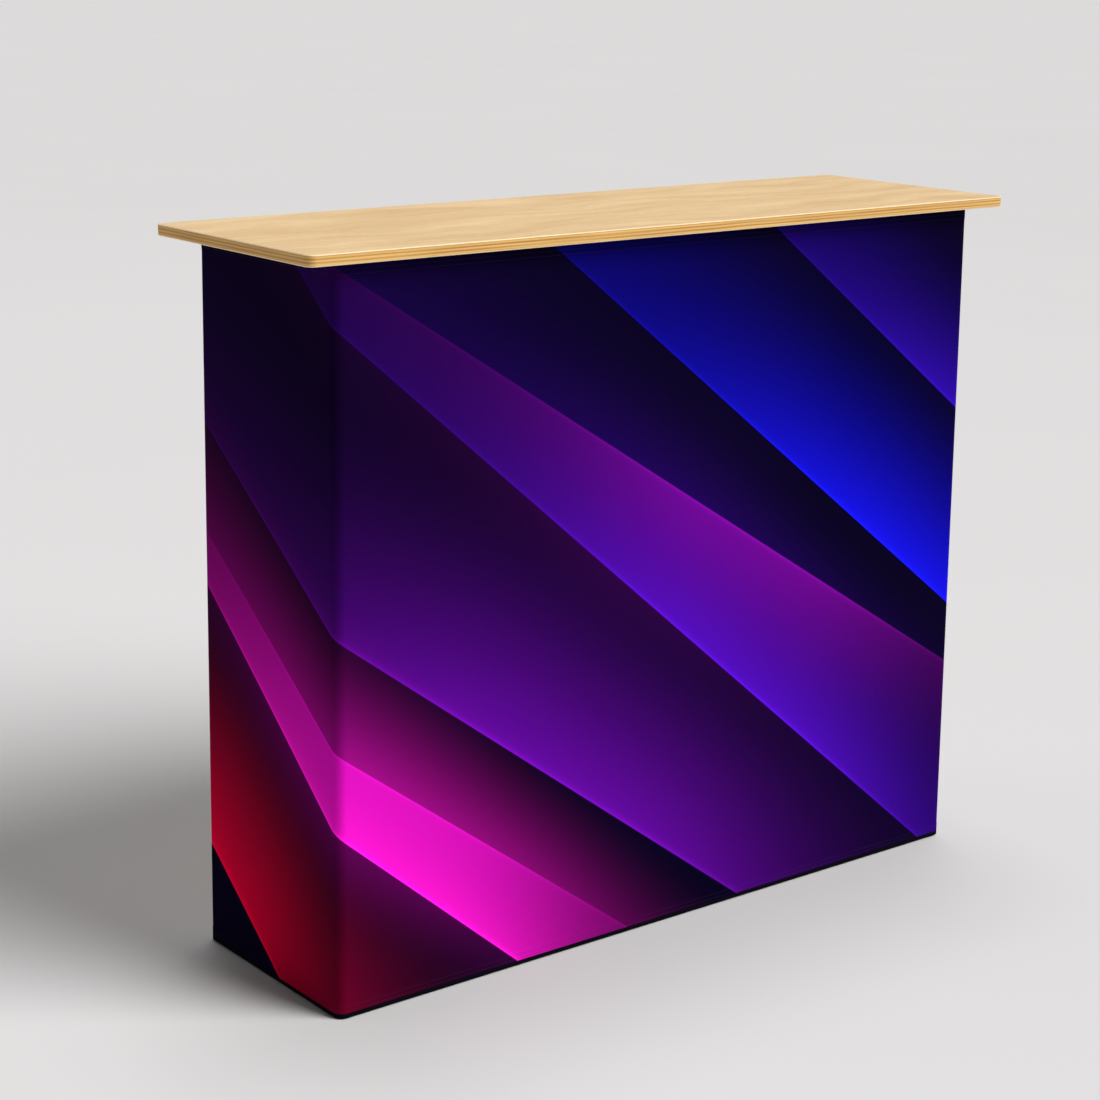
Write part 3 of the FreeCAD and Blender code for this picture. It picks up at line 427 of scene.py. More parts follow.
# painted shade between the ribs of the reverse
yarn = blend_colours(tree, relief, YARN_PAINTED_SHADE, YARN_WHITE)
tree.links.new(blend_colours(tree, SHOWS_THROUGH, yarn, ghost), shader["Base Color"])
tree.links.new(bump(tree, relief, 0.3, 0.0003), shader["Normal"])
print("cloth materials", cloth_face.name, cloth_reverse.name)

# %% [markdown]
# The cover is one strip of cloth carried round the frame. In plan it follows half a turn round
# each back post, a quarter turn round each front post and straight runs between them. Keeping
# the running length along that path as the U coordinate means the cloth is never stretched in
# the pattern. A solid box with rounded edges would look alike from the front but would not be
# open at the back, nor end in a hem.

# %% Plan of the cover
# a turn has its centre and two angles, a run its two ends, and both a number of steps
PLAN = (
    ("turn", -post_x, post_y, 0.0, math.pi, 28),
    ("run", -post_x - corner_r, post_y, -post_x - corner_r, -post_y, 40),
    ("turn", -post_x, -post_y, math.pi, 3 * QUARTER, 14),
    ("run", -post_x, -post_y - corner_r, post_x, -post_y - corner_r, 120),
    ("turn", post_x, -post_y, -QUARTER, 0.0, 14),
    ("run", post_x + corner_r, -post_y, post_x + corner_r, post_y, 40),
    ("turn", post_x, post_y, 0.0, math.pi, 28),
)


def plan_points():
    """Points, outward normals and running length of the plan, stretch after stretch.

    A turn is centre + radius * (cos, sin) of an evenly growing angle; a run is a straight
    blend of its ends, whose normal is the direction turned right by a quarter.
    """
    places, normals = [], []
    for kind, a, b, c, d, steps in PLAN:
        last = 1 if (kind, a, b, c, d, steps) == PLAN[-1] else 0
        share = np.arange(steps + last) / steps
        if kind == "turn":
            angle = c + (d - c) * share
            normal = np.stack([np.cos(angle), np.sin(angle)], axis=1)
            places.append(np.array([a, b]) + corner_r * normal)
        else:
            start, end = np.array([a, b]), np.array([c, d])
            direction = (end - start) / np.linalg.norm(end - start)
            normal = np.repeat([[direction[1], -direction[0]]], steps, axis=0)
            places.append(start + share[:, None] * (end - start))
        normals.append(normal)
    place, normal = np.concatenate(places), np.concatenate(normals)
    step = np.linalg.norm(np.diff(place, axis=0), axis=1)
    return place, normal, np.concatenate([[0], np.cumsum(step)])


place, normal, length = plan_points()
print("cloth runs", round(float(length[-1]), 4), "m round the frame")

# %% [markdown]
# Upwards the cloth gets rows of points that crowd at the two hems, because there it is folded
# double and stands a little proud. The stretched panels also draw in by a hair between the
# rails, the way any tensioned knit does.

# %% Cover surface
HEM, HEM_RISE, HEM_SOFTNESS = 0.018, 0.0004, 0.0007
DRAW_IN = 0.0009
HEM_ROWS, HEM_REACH = 14, 1.3
PANEL_ROWS, PANEL_FROM = 56, 0.03
RAIL_ROOM = 0.004
cut_low, cut_high = low_rail_z + tube_r + RAIL_ROOM, high_rail_z - tube_r - RAIL_ROOM
hem_steps = HEM * np.linspace(0, HEM_REACH, HEM_ROWS)
panel_levels = np.linspace(z_low + PANEL_FROM, z_high - PANEL_FROM, PANEL_ROWS)
levels = np.unique(np.concatenate([z_low + hem_steps, [cut_low, cut_high], panel_levels, z_high - hem_steps]))


def hem_profile(z):
    """1 on the folded hem, falling smoothly to 0 over the last millimetres before the seam."""
    from_edge = np.minimum(z - z_low, z_high - z)
    return 1 / (1 + np.exp((from_edge - HEM) / HEM_SOFTNESS))


def panel_hollow(place):
    """0 at the posts and 1 in the middle of a panel, along the half-sine arch of that panel."""
    x, y = place.T
    along_x = np.cos(np.clip(x / post_x, -1, 1) * QUARTER)
    along_y = np.cos(np.clip(y / post_y, -1, 1) * QUARTER)
    return np.maximum(along_x * (np.abs(y) > post_y), along_y * (np.abs(x) > post_x))


arch = np.sin(np.clip((levels - low_rail_z) / (high_rail_z - low_rail_z), 0, 1) * math.pi)
sink = -HEM_RISE - DRAW_IN * arch[:, None] * panel_hollow(place)[None, :]
proud = sink + HEM_RISE * hem_profile(levels)[:, None]
points = np.empty((len(levels), len(place), 3))
points[..., :2] = place[None] + normal[None] * proud[..., None]
points[..., 2] = levels[:, None]
cloth_uv = np.stack(np.broadcast_arrays(length[None, :], levels[:, None]), axis=-1)
print("cover surface of", len(levels), "rows by", len(place), "points")

# %% [markdown]
# The back returns are cut out round the rails, so those faces are left out of the grid, and the
# points that no face uses are dropped. A second skin on the inner side gives the cloth its
# thickness and shows the pale reverse.

# %% Cover mesh
CLOTH = 0.0006
middle = (place[:-1] + place[1:]) / 2
in_return = (np.abs(middle[:, 0]) < post_x - RAIL_ROOM) & (middle[:, 1] > 0)
row_middle = (levels[:-1] + levels[1:]) / 2
at_rail = (row_middle < cut_low) | (row_middle > cut_high)
faces = grid_faces(len(levels), len(place), keep=~(at_rail[:, None] & in_return[None, :]))
used, renumbered = np.unique(faces, return_inverse=True)
faces = renumbered.reshape(faces.shape)
flat_points, flat_uv = points.reshape(-1, 3)[used], cloth_uv.reshape(-1, 2)[used]
cover = finish_piece("stretch_cover", flat_points, faces.tolist(), cloth_face)
uv_layer = cover.data.uv_layers.new(name=CLOTH_UV)
uv_layer.data.foreach_set("uv", flat_uv[faces.ravel()].ravel())
cover.data.materials.append(cloth_reverse)
wall = cover.modifiers.new("cloth", "SOLIDIFY")
wall.thickness = CLOTH
wall.offset = -1
wall.material_offset = 1
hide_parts("printed_cover")

# %% [markdown]
# The hems, and the free edges behind the back posts, are closed with a twin row of stitches.
# Each stitch is a tiny grain of thread: an ellipsoid of a few dozen faces, laid along the seam.
# One formula makes the grain, and numpy copies it to all the places at once by adding its three
# half-axes to every place.

# %% Grains of thread or steel
RINGS, SIDES = 3, 6


def grains(places, along, outward, up, half_sizes):
    """Ellipsoids: place + a * along + b * outward + c * up for the points (a, b, c) of a ball.

    The ball has two poles on its long axis and three rings of six points between them.
    """
    polar = np.linspace(0, math.pi, RINGS + 2)[1:-1, None]
    turn = np.arange(SIDES) * math.tau / SIDES
    on_ball = (np.cos(polar), np.sin(polar) * np.cos(turn), np.sin(polar) * np.sin(turn))
    rings = np.stack(np.broadcast_arrays(*on_ball), axis=-1).reshape(-1, 3)
    ball = np.concatenate([[[1, 0, 0]], rings, [[-1, 0, 0]]]) * half_sizes
    axes_of = np.stack([along, outward, up], axis=1)
    points = places[:, None, :] + np.einsum("pk,nkx->npx", ball, axes_of)
    first_ring = 1 + np.arange(SIDES)
    last_ring = first_ring + (RINGS - 1) * SIDES
    first_pole, last_pole = np.zeros(SIDES, int), np.full(SIDES, len(ball) - 1)
    first_cap = np.stack([first_pole, first_ring, np.roll(first_ring, -1)], axis=1)
    last_cap = np.stack([last_pole, np.roll(last_ring, -1), last_ring], axis=1)
    start = np.arange(len(places))[:, None, None] * len(ball)
    triangles = (start + np.concatenate([first_cap, last_cap])).reshape(-1, 3)
    quads = (start + 1 + ring_faces(RINGS, SIDES)).reshape(-1, 4)
    return points.reshape(-1, 3), triangles.tolist() + quads.tolist()


thread, tree, shader = new_material("sewing_thread", Roughness=0.7, Specular_IOR_Level=0.1)
twist = grain(tree, object_place(tree), (900, 900, 900), contrast=1.4)
yarn = blend_colours(tree, twist, (0.006, 0.004, 0.016, 1), (0.03, 0.02, 0.06, 1))
tree.links.new(yarn, shader["Base Color"])
print("thread", thread.name)

# %% [markdown]
# The rows of stitches are lines in the flat cloth: at one height round the hems, at one running
# length up the free edges. Reading the plan at those running lengths puts them on the frame.

# %% Stitching
PITCH = 0.004
SEAM_FROM_FOLD = np.array([0.003, 0.009])
EDGE_FOLD = 0.003
HEM_SEAM_FROM_END, EDGE_SEAM_FROM_CUT = 0.05, 0.006
STITCH = np.array([0.0015, 0.00022, 0.0003])
STITCH_SUNK = 0.00005


def on_cloth(run, z):
    """Places, outward and running directions on the cloth at running lengths and heights."""
    columns = (place[:, 0], place[:, 1], normal[:, 0], normal[:, 1])
    x, y, out_x, out_y = (np.interp(run, length, column) for column in columns)
    outward = np.stack([out_x, out_y, np.zeros(len(run))], axis=1)
    outward /= np.linalg.norm(outward, axis=1, keepdims=True)
    return np.stack([x, y, z], axis=1) - outward * STITCH_SUNK, outward, np.cross(UP, outward)


def crossed(runs, heights):
    """Every running length with every height, as two long rows."""
    return (values.ravel() for values in np.meshgrid(runs, heights))


def upright(places):
    """The upward direction once for every place."""
    return np.repeat(UP[None], len(places), axis=0)


hem_rows = np.concatenate([z_low + HEM - SEAM_FROM_FOLD, z_high - HEM + SEAM_FROM_FOLD])
hem_runs = np.arange(HEM_SEAM_FROM_END, length[-1] - HEM_SEAM_FROM_END, PITCH)
hem_places, hem_outward, hem_along = on_cloth(*crossed(hem_runs, hem_rows))
edge_inset = EDGE_FOLD + SEAM_FROM_FOLD
edge_runs = np.concatenate([edge_inset, length[-1] - edge_inset])
edge_rows = np.arange(cut_low + EDGE_SEAM_FROM_CUT, cut_high - EDGE_SEAM_FROM_CUT, PITCH)
edge_places, edge_outward, edge_along = on_cloth(*crossed(edge_runs, edge_rows))
edge_places = edge_places - edge_outward * HEM_RISE
seam_points, seam_faces = grains(
    np.concatenate([hem_places, edge_places]),
    np.concatenate([hem_along, upright(edge_places)]),
    np.concatenate([hem_outward, edge_outward]),
    np.concatenate([upright(hem_places), edge_along]),
    STITCH,
)
stitching = finish_piece("hem_stitching", seam_points, seam_faces, thread)

# %% [markdown]
# The boards are birch plywood under a clear satin lacquer. The faces show one veneer with its
# fibre along the length; the edges show that veneer as a pale line above and below, and between
# them the plies, long grain and end grain in turn, no two quite alike. The CAD boards already
# have the right rounded corners, so only a material is needed: the surface normal tells the face
# from the edge, and from the eased arris between them, which is painted paler as a highlight,
# and the height inside the board tells the ply.

# %% Plywood
PORE_BROWN, END_GRAIN_BROWN = (0.40, 0.21, 0.07, 1), (0.34, 0.15, 0.04, 1)
# the last colour here is a painted highlight for the eased arrises
PLY_DARK, PLY_LIGHT, ARRIS_PAINTED_HIGHLIGHT = (0.46, 0.22, 0.055, 1), (0.94, 0.60, 0.215, 1), (0.97, 0.80, 0.52, 1)
SKIN_FROM, SKIN_TO = 0.0018, 0.0013
PLY_UNEVEN = 0.0006


def veneer(tree, where, light, dark):
    """Colour of the face, and its fibre, figure and pores as values from 0 to 1."""
    fibre = grain(tree, where, (6, 170, 60), detail=6.0, contrast=2.3, wander=0.05)
    figure = grain(tree, where, (3.2, 20, 8), detail=5.0, contrast=3.2, wander=0.16)
    pores = grain(tree, where, (60, 1400, 400), detail=2.0, contrast=2.2)
    face = blend_colours(tree, weigh(tree, [(fibre, 0.5), (figure, 0.5)]), dark, light)
    fleck = ramp(tree, pores, 0.62, 0.95, 0.0, 0.55)
    return blend_colours(tree, fleck, face, PORE_BROWN), fibre, figure, pores


def sawn_edge(tree, where, board, plies, figure, face):
    """Colour of the sawn edge, and the stripe of its plies as a value from 0 to 1.

    The stripe is a cosine of the height above the board's middle, with half a wave to a ply;
    the outermost layer takes the colour of the face.
    """
    low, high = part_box(board)
    half = float(high[2] - low[2]) / 2
    above = maths(tree, "SUBTRACT", parts_of(tree, where)[2], float(low[2] + high[2]) / 2)
    uneven = weigh(tree, [(figure, PLY_UNEVEN)], above)
    wave = maths(tree, "COSINE", maths(tree, "MULTIPLY", uneven, math.pi * plies / (2 * half)))
    stripe = ramp(tree, wave, -0.5, 0.4)
    layers = grain(tree, where, (8, 8, 560), detail=3.0, contrast=2.6)
    edge = blend_colours(tree, weigh(tree, [(stripe, 0.5), (layers, 0.5)]), PLY_DARK, PLY_LIGHT)
    end_grain = grain(tree, where, (500, 500, 900), contrast=1.6)
    edge = blend_colours(tree, maths(tree, "MULTIPLY", end_grain, 0.25), edge, END_GRAIN_BROWN)
    skin = ramp(tree, maths(tree, "ABSOLUTE", above), half - SKIN_FROM, half - SKIN_TO)
    return blend_colours(tree, skin, edge, face), stripe


def plywood(name, board, plies, light, dark):
    """Veneer where the normal is upright, plies where it is level, a painted highlight in between."""
    material, tree, shader = new_material(name, Specular_IOR_Level=0.12)
    coordinate = add(tree, "ShaderNodeTexCoord").outputs
    face, fibre, figure, pores = veneer(tree, coordinate["Object"], light, dark)
    edge, stripe = sawn_edge(tree, coordinate["Object"], board, plies, figure, face)
    facing = maths(tree, "ABSOLUTE", parts_of(tree, coordinate["Normal"])[2])
    on_edge = ramp(tree, facing, 0.55, 0.8, 1.0, 0.0)
    wood = blend_colours(tree, on_edge, face, edge)
    # painted highlight: the eased arris above and below is made paler, as if it caught the light
    on_arris = maths(tree, "MULTIPLY", ramp(tree, facing, 0.08, 0.25), ramp(tree, facing, 0.99, 0.90))
    arris_highlight = maths(tree, "MULTIPLY", on_arris, 0.85)
    tree.links.new(blend_colours(tree, arris_highlight, wood, ARRIS_PAINTED_HIGHLIGHT), shader["Base Color"])
    tree.links.new(weigh(tree, [(fibre, 0.14), (on_edge, 0.12)], 0.34), shader["Roughness"])
    ridges = maths(tree, "MULTIPLY", stripe, on_edge)
    relief = weigh(tree, [(pores, 0.5), (ridges, 0.6)])
    tree.links.new(bump(tree, relief, 0.25, 0.0002), shader["Normal"])
    return material


def dress(material, names):
    """Give CAD nodes a material in place of the one they came with."""
    for name in names:
        slots = nodes[name].data.materials
        slots.clear()
        slots.append(material)
    print(material.name, "on", len(names), "nodes")


dress(plywood("birch_worktop", "worktop", 7, (0.94, 0.69, 0.375, 1), (0.67, 0.41, 0.15, 1)), ["worktop"])
dress(plywood("birch_shelf", "shelf", 5, (0.94, 0.71, 0.41, 1), (0.66, 0.41, 0.17, 1)), ["shelf"])

# %% [markdown]
# The tubes are drawn aluminium, anodised in their natural colour. Drawing leaves faint lines
# along the tube, so the same streak group is stretched along X, Y or Z for the rails and the
# posts: one material for each direction.

# %% Tubes
TUBE_DARK, TUBE_LIGHT = (0.56, 0.57, 0.58, 1), (0.68, 0.69, 0.70, 1)
DIRECTIONS = {
    "x": ((3, 900, 900), [n for n in nodes if "_rail_front" in n or "_rail_back" in n]),
    "y": ((900, 3, 900), [n for n in nodes if "_rail_left" in n or "_rail_right" in n]),
    "z": ((900, 900, 3), [n for n in nodes if n.startswith("post_")]),
}
for axis, (stretch, names) in DIRECTIONS.items():
    drawn, tree, shader = new_material(f"anodised_tube_{axis}", Metallic=1.0)
    where = object_place(tree)
    lines = grain(tree, where, stretch, detail=3.0, contrast=1.4)
    marks = place_group(tree, pebble, {"Position": where, "Marks per metre": 14.0})["Mark"]
    tree.links.new(blend_colours(tree, lines, TUBE_DARK, TUBE_LIGHT), shader["Base Color"])
    tree.links.new(weigh(tree, [(lines, 0.14), (marks, 0.22)], 0.2), shader["Roughness"])
    tree.links.new(bump(tree, lines, 0.08, 0.0001), shader["Normal"])
    dress(drawn, names)

# %% [markdown]
# Connectors, saddles and turn catches are glass-filled nylon, nearly black, with the fine
# pebble of an eroded mould and a greyer bloom where hands have rubbed it. The rubber feet, the
# hook tape and the plated steel differ from it only in colour, gloss and scale, so one function
# makes all four. Snap buttons, springs, rivets and screws are bright zinc-plated steel; plating
# is never quite even, so its gloss wanders a little from place to place.

# %% Mouldings, tape and plated steel


def pebbled(name, per_metre, dark, light, roughness, relief, **plain):
    """Material whose colour and gloss follow the marks and whose relief follows the grain.

    per_metre is the grain and the marks, roughness its least value and what marks add to it,
    relief the strength and the distance of the bump.
    """
    least, added = roughness
    material, tree, shader = new_material(name, Roughness=least, **plain)
    scales = dict(zip(("Grain per metre", "Marks per metre"), per_metre))
    skin = place_group(tree, pebble, {"Position": object_place(tree)} | scales)
    tree.links.new(blend_colours(tree, skin["Mark"], dark, light), shader["Base Color"])
    if added:
        tree.links.new(weigh(tree, [(skin["Mark"], added)], least), shader["Roughness"])
    tree.links.new(bump(tree, skin["Height"], *relief), shader["Normal"])
    return material


nylon = pebbled(
    "moulded_nylon", (1400.0, 60.0), (0.012, 0.012, 0.013, 1), (0.045, 0.045, 0.048, 1),
    roughness=(0.36, 0.25), relief=(0.25, 0.0003),
)
rubber = pebbled(
    "foot_rubber", (900.0, 120.0), (0.010, 0.010, 0.010, 1), (0.05, 0.047, 0.044, 1),
    roughness=(0.7, 0.2), relief=(0.4, 0.0004),
)
hook = pebbled(
    "hook_tape", (800.0, 90.0), (0.010, 0.010, 0.012, 1), (0.04, 0.04, 0.045, 1),
    roughness=(0.9, 0.0), relief=(0.8, 0.0008),
)
plated = pebbled(
    "zinc_plated_steel", (2600.0, 260.0), (0.50, 0.51, 0.53, 1), (0.72, 0.72, 0.72, 1),
    roughness=(0.16, 0.25), relief=(0.05, 0.0001), Metallic=1.0,
)
dress(nylon, [n for n in nodes if n.startswith(("connector_", "shelf_saddle_", "turn_catch_"))])
dress(rubber, [n for n in nodes if n.startswith("foot_")])
dress(hook, ["hook_tapes"])
dress(plated, [n for n in nodes if n.startswith("snap_button_")] + ["corner_rivets", "saddle_rivets"])

# %% [markdown]
# Behind every snap button sits a hairpin leaf spring, which gives way when the button is pressed.
# A rigid CAD solid can't do that. Each spring is made again here as a strip: a rectangle of
# four corners carried along the hairpin's middle line, which is a straight leg, half a turn and
# a straight leg back.

# %% Shape of a leaf spring
STRIP, STRIP_WIDTH = 0.0006, 0.005
LEG, OVERRUN, PLAY = 0.013, 0.004, 0.0002
BEND_POINTS = 25
SPRUNG_BUTTON = "snap_button_top_front_left"
flange = float(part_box(SPRUNG_BUTTON)[0][1]) + post_y
far_side = float(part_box("button_springs")[1][1]) - post_y
button_x = -middle_of(SPRUNG_BUTTON, 0)
spring_height = flange - PLAY + far_side
half_turn = np.linspace(-QUARTER, -3 * QUARTER, BEND_POINTS)
radial = np.stack([np.cos(half_turn), np.sin(half_turn)], axis=1)
bend_r = (spring_height - STRIP) / 2
middle_height = spring_height / 2 - far_side
leg_ends = np.array([[OVERRUN, middle_height - bend_r], [OVERRUN, middle_height + bend_r]])
bend_line = np.array([OVERRUN - LEG, middle_height]) + bend_r * radial
middle_line = np.concatenate([leg_ends[:1], bend_line, leg_ends[1:]])
across_strip = np.concatenate([[[0, -1]], radial, [[0, 1]]])


def leaf_spring(name, centre, along, outward):
    """Strip: centre + a * along + b * outward + c * (along x outward).

    (a, b) is a point of the middle line moved half a thickness to either side, c is half the
    width to either side; the four corners go once round the strip's section.
    """
    thick = np.array([1, -1, -1, 1]) * STRIP / 2
    wide = np.array([1, 1, -1, -1]) * STRIP_WIDTH / 2
    section = middle_line[:, None, :] + across_strip[:, None, :] * thick[None, :, None]
    points = centre + section[..., :1] * along + section[..., 1:] * outward
    points = (points + wide[None, :, None] * np.cross(along, outward)).reshape(-1, 3)
    first_end = np.arange(4)
    last_end = len(points) - 1 - first_end
    faces = np.concatenate([ring_faces(len(section), 4), [first_end], [last_end]])
    return finish_piece(name, points, faces.tolist(), plated)


print("springs", round(spring_height * 1000, 2), "mm high")

# %% Leaf springs
pressed = {joint["name"]: joint for joint in frame["joints"] if joint["name"].endswith("_press")}
for joint_name, joint in pressed.items():
    level, end, side = joint_name.split("_")[2:5]
    sign_x = -1 if side == "left" else 1
    sign_y = -1 if end == "front" else 1
    rail_z = low_rail_z if level == "bottom" else high_rail_z
    centre = np.array([sign_x * button_x, sign_y * post_y, rail_z])
    along = np.array([-sign_x, 0.0, 0.0])
    inward = np.array([0.0, -sign_y, 0.0])
    spring = leaf_spring(f"leaf_spring_{level}_{end}_{side}", centre, along, inward)
    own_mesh(spring)
    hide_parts("button_springs")

# %% [markdown]
# The CAD pivot screw has a plain flat head; a real one is domed, with a lead-in round the
# socket for its key. It is a turned shape, so it can be written as rings of points: each ring
# has a radius and a height. In the socket the radius follows a hexagon, the flat distance
# divided by the cosine of the angle from the middle of the flat. The rings of all four screws
# are worked out together.

# %% Pivot screws
HEAD_R, SHANK_R, SOCKET_R = 0.006, 0.003, 0.0020
HEAD_HEIGHT, LEAD_IN, UNDER_CATCH = 0.003, 0.00025, 0.0003
AROUND, FLATS = 48, 6
screw_high = box_of("catch_screws")[1]
head_top = box_of("turn_catch_front_left")[0][2] - UNDER_CATCH
shank = screw_high[2] - head_top
# radius, height above the upper side of the head, and 1 where the ring is a hexagon
SCREW_RINGS = np.array([
    (0.0004, shank, 0),
    (0.0028, shank - 0.0012, 0),
    (SHANK_R, shank - 0.0016, 0),
    (SHANK_R, 0.0, 0),
    (HEAD_R, 0.0, 0),
    (HEAD_R, -0.0009, 0),
    (0.0056, -0.0017, 0),
    (0.0048, -0.0025, 0),
    (0.0038, -0.00295, 0),
    (0.0031, -HEAD_HEIGHT, 0),
    (SOCKET_R + LEAD_IN, -HEAD_HEIGHT, 1),
    (SOCKET_R, -0.0027, 1),
    (SOCKET_R, -0.0010, 1),
    (0.0002, -0.0006, 0),
])
turn = np.arange(AROUND) * math.tau / AROUND
hexagon = 1 / np.cos(turn % (math.tau / FLATS) - math.pi / FLATS)
radius = SCREW_RINGS[:, :1] * np.where(SCREW_RINGS[:, 2:] > 0, hexagon[None, :], 1.0)
height = np.repeat(SCREW_RINGS[:, 1:2], AROUND, axis=1)
one_screw = np.stack([radius * np.cos(turn), radius * np.sin(turn), height], axis=-1).reshape(-1, 3)
pivot_x, pivot_y = screw_high[:2] - HEAD_R
centres = np.array([(sx * pivot_x, sy * pivot_y, head_top) for sy in (-1, 1) for sx in (-1, 1)])
first = np.arange(len(centres))[:, None, None] * len(one_screw)
quads = (first + ring_faces(len(SCREW_RINGS), AROUND)).reshape(-1, 4)
around = np.arange(AROUND)
caps = (first + np.stack([around, len(one_screw) - 1 - around])).reshape(-1, AROUND)
screw_points = (centres[:, None, :] + one_screw[None]).reshape(-1, 3)
screw_faces = quads.tolist() + caps.tolist()
screws = finish_piece("pivot_screws", screw_points, screw_faces, plated)
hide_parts("catch_screws")

# %% [markdown]
# A blind rivet keeps the broken end of its pulling pin in the middle of the head. Those pin
# ends are grains again, flattened along the rivet's axis.

# %% Rivet pins
RIVET_HEAD, SADDLE_AND_HEAD = 0.0014, 0.0040
RIVET_REACH, SADDLE_RIVET_REACH = 0.028, 0.017
PIN_END = np.array([0.0011, 0.0005, 0.0011])
head_face, saddle_face = tube_r + RIVET_HEAD, tube_r + SADDLE_AND_HEAD
side, end, level = (signs.ravel() for signs in np.meshgrid([-1, 1], [-1, 1], [-1, 1]))
none = np.zeros(len(side))
rail_z = np.where(level < 0, low_rail_z, high_rail_z)
saddle_z = shelf_rail_z + level * SADDLE_RIVET_REACH
on_posts = np.stack([side * post_x, end * (post_y - head_face), rail_z - level * RIVET_REACH], axis=1)
on_rails = np.stack([side * (post_x - head_face), end * (post_y - RIVET_REACH), rail_z], axis=1)
on_saddles = np.stack([side * post_x, end * (post_y - saddle_face), saddle_z], axis=1)
pin_places = np.concatenate([on_posts, on_rails, on_saddles])
inward_y = np.stack([none, -end, none], axis=1)
inward_x = np.stack([-side, none, none], axis=1)
pin_axes = np.concatenate([inward_y, inward_x, inward_y])
pin_up = upright(pin_places)
pin_points, pin_faces = grains(pin_places, pin_up, pin_axes, np.cross(pin_up, pin_axes), PIN_END)
finish_piece("rivet_pins", pin_points, pin_faces, plated)

# %% [markdown]
# The studio floor is one seamless pale sheet, faintly cloudy, with painted light that makes it a
# shade brighter near the middle and darker far away, quite without gloss so that no horizon
# shows. The sky is seen as a pale even grey, but lights the scene only weakly: most of the light
# comes from the lamps.

# %% Floor and sky
FLOOR_HALF = 150.0
PAPER_DARK, PAPER_LIGHT = (0.750, 0.735, 0.733, 1), (0.775, 0.760, 0.757, 1)
SKY_LIGHT, SKY_SEEN = (0.040, 0.040, 0.041, 1), (0.722, 0.708, 0.706, 1)
floor_material, tree, shader = new_material("studio_floor", Roughness=0.9, Specular_IOR_Level=0.0)
where = object_place(tree)
cloudy = add(tree, "ShaderNodeTexNoise", {"Vector": where, "Scale": 0.8, "Detail": 2.0}).outputs[0]
paper = blend_colours(tree, cloudy, PAPER_DARK, PAPER_LIGHT)
away = add(tree, "ShaderNodeVectorMath", {0: where}, operation="LENGTH").outputs["Value"]
# painted light: the floor's colour is a shade brighter near the middle and darker far away
painted_light_falloff = ramp(tree, away, 1.0, 9.0, 1.03, 0.965)
tree.links.new(vectors(tree, "SCALE", paper, painted_light_falloff), shader["Base Color"])
floor_mesh = bpy.data.meshes.new("studio_floor")
corners = np.array([(-1, -1, 0), (1, -1, 0), (1, 1, 0), (-1, 1, 0)]) * FLOOR_HALF
floor_mesh.from_pydata(corners.tolist(), [], [(0, 1, 2, 3)])
floor_mesh.materials.append(floor_material)
floor = bpy.data.objects.new("studio_floor", floor_mesh)
bpy.context.scene.collection.objects.link(floor)

world = bpy.data.worlds.new("studio")
world.use_nodes = True
bpy.context.scene.world = world
tree = world.node_tree
path = add(tree, "ShaderNodeLightPath").outputs
mirrored = maths(tree, "MAXIMUM", path["Is Glossy Ray"], path["Is Transmission Ray"])
seen = maths(tree, "MAXIMUM", path["Is Camera Ray"], mirrored)
sky = tree.nodes["Background"].inputs["Color"]
tree.links.new(blend_colours(tree, seen, SKY_LIGHT, SKY_SEEN), sky)
print("floor", 2 * FLOOR_HALF, "m wide under", world.name, "sky")

# %% [markdown]
# A broad soft key light stands to the front right, so that the shadow falls to the back left as
# in the picture. A light high above and behind lays the narrow band of shade before the front,
# and a low weak one from behind left opens up the left end and the shelf. Sun lamps light the
# floor evenly out to the horizon, which area lamps could not do.

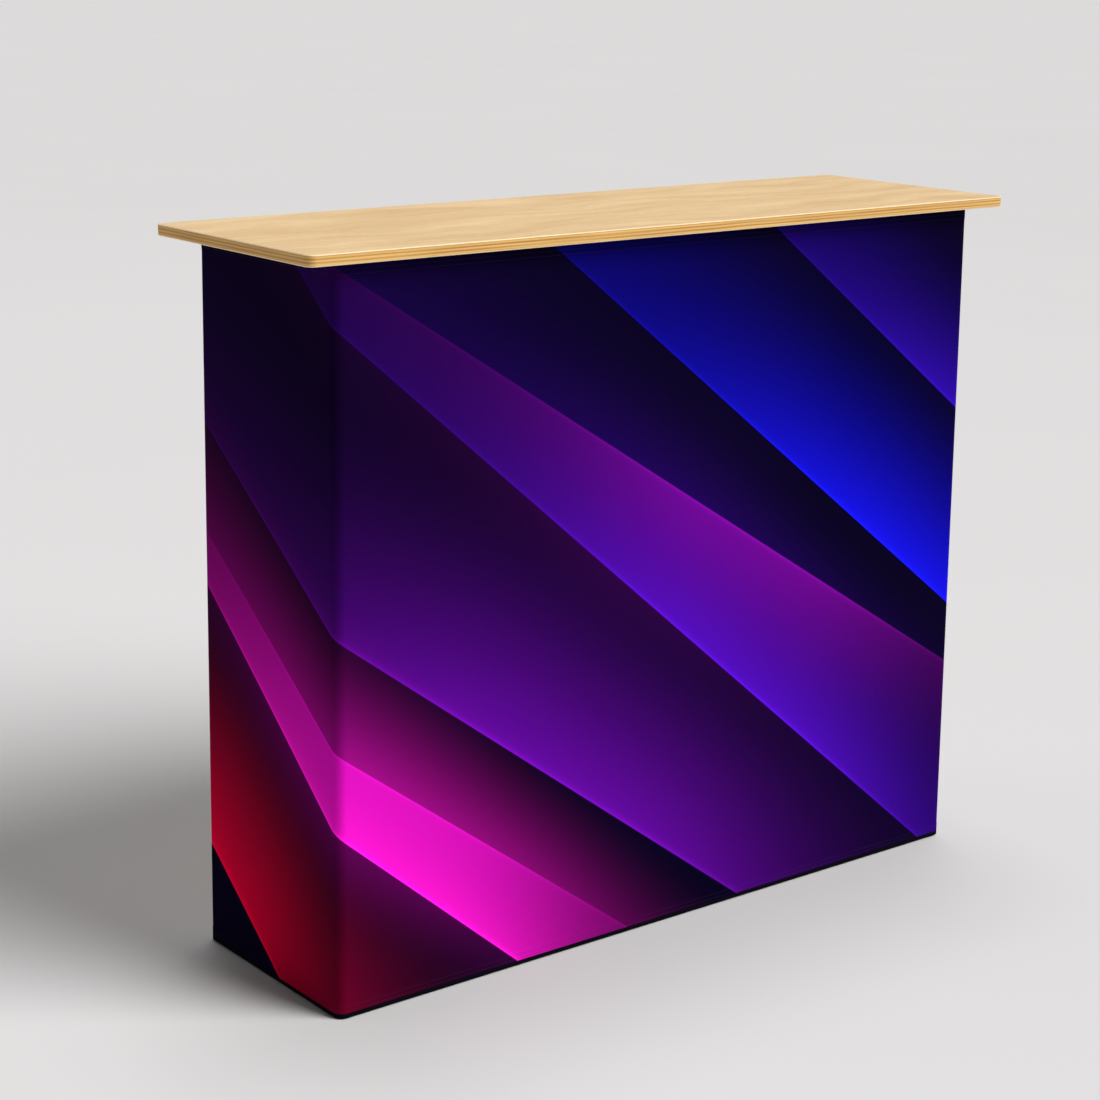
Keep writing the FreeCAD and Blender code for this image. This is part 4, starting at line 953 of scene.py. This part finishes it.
# %% Lights
LIGHTS = (
    # name, degrees right of the front, degrees above the floor, spread in degrees, strength
    ("key", 33.0, 41.0, 37.0, 3.24),
    ("overhead", 147.0, 77.5, 22.0, 0.76),
    ("fill", 235.0, 15.0, 40.0, 0.30),
)


def direction(bearing, height):
    """Direction at so many degrees to the right of the front and above the floor."""
    right, up = math.radians(bearing), math.radians(height)
    return Vector((math.sin(right) * math.cos(up), -math.cos(right) * math.cos(up), math.sin(up)))


for name, bearing, height, spread, strength in LIGHTS:
    lamp = bpy.data.lights.new(name, "SUN")
    lamp.energy = strength
    lamp.angle = math.radians(spread)
    toward = direction(bearing, height)
    lamp_object = bpy.data.objects.new(name, lamp)
    lamp_object.rotation_euler = toward.to_track_quat("Z", "Y").to_euler()
    bpy.context.scene.collection.objects.link(lamp_object)
    print(name, "light from", tuple(round(v, 2) for v in toward))

# %% [markdown]
# The camera stands to the front left, a little above the worktop, with a long lens. Its place
# and direction were fitted to the corners and edges of the counter in the picture; a small
# shift of the lens keeps the uprights nearly as parallel as they are there.

# %% Camera
EYE = (-2.1511, -2.6221, 1.3883)
AZIMUTH, ELEVATION, ROLL = 38.073, -11.574, 0.707
LENS, SENSOR, LENS_SHIFT = 79.642, 36.0, -0.1155
SEES_AS_FAR_AS = 500.0
# the azimuth is counted from straight ahead, which is half a turn from the counter's front
forward = np.array(direction(180.0 - AZIMUTH, ELEVATION))
level_right = np.cross(forward, UP) / np.linalg.norm(np.cross(forward, UP))
level_up = np.cross(level_right, forward)
roll = math.radians(ROLL)
right = level_right * math.cos(roll) + level_up * math.sin(roll)
upward = level_up * math.cos(roll) - level_right * math.sin(roll)
turned = Matrix(np.column_stack([right, upward, -forward]).tolist()).to_4x4()
lens = bpy.data.cameras.new("camera")
lens.sensor_width = SENSOR
lens.lens = LENS
lens.shift_y = LENS_SHIFT
lens.clip_end = SEES_AS_FAR_AS
camera = bpy.data.objects.new("camera", lens)
camera.matrix_world = Matrix.Translation(EYE) @ turned
bpy.context.scene.collection.objects.link(camera)
bpy.context.scene.camera = camera
bpy.context.scene.view_settings.view_transform = "Standard"
print("camera at", tuple(round(v, 3) for v in camera.matrix_world.translation))
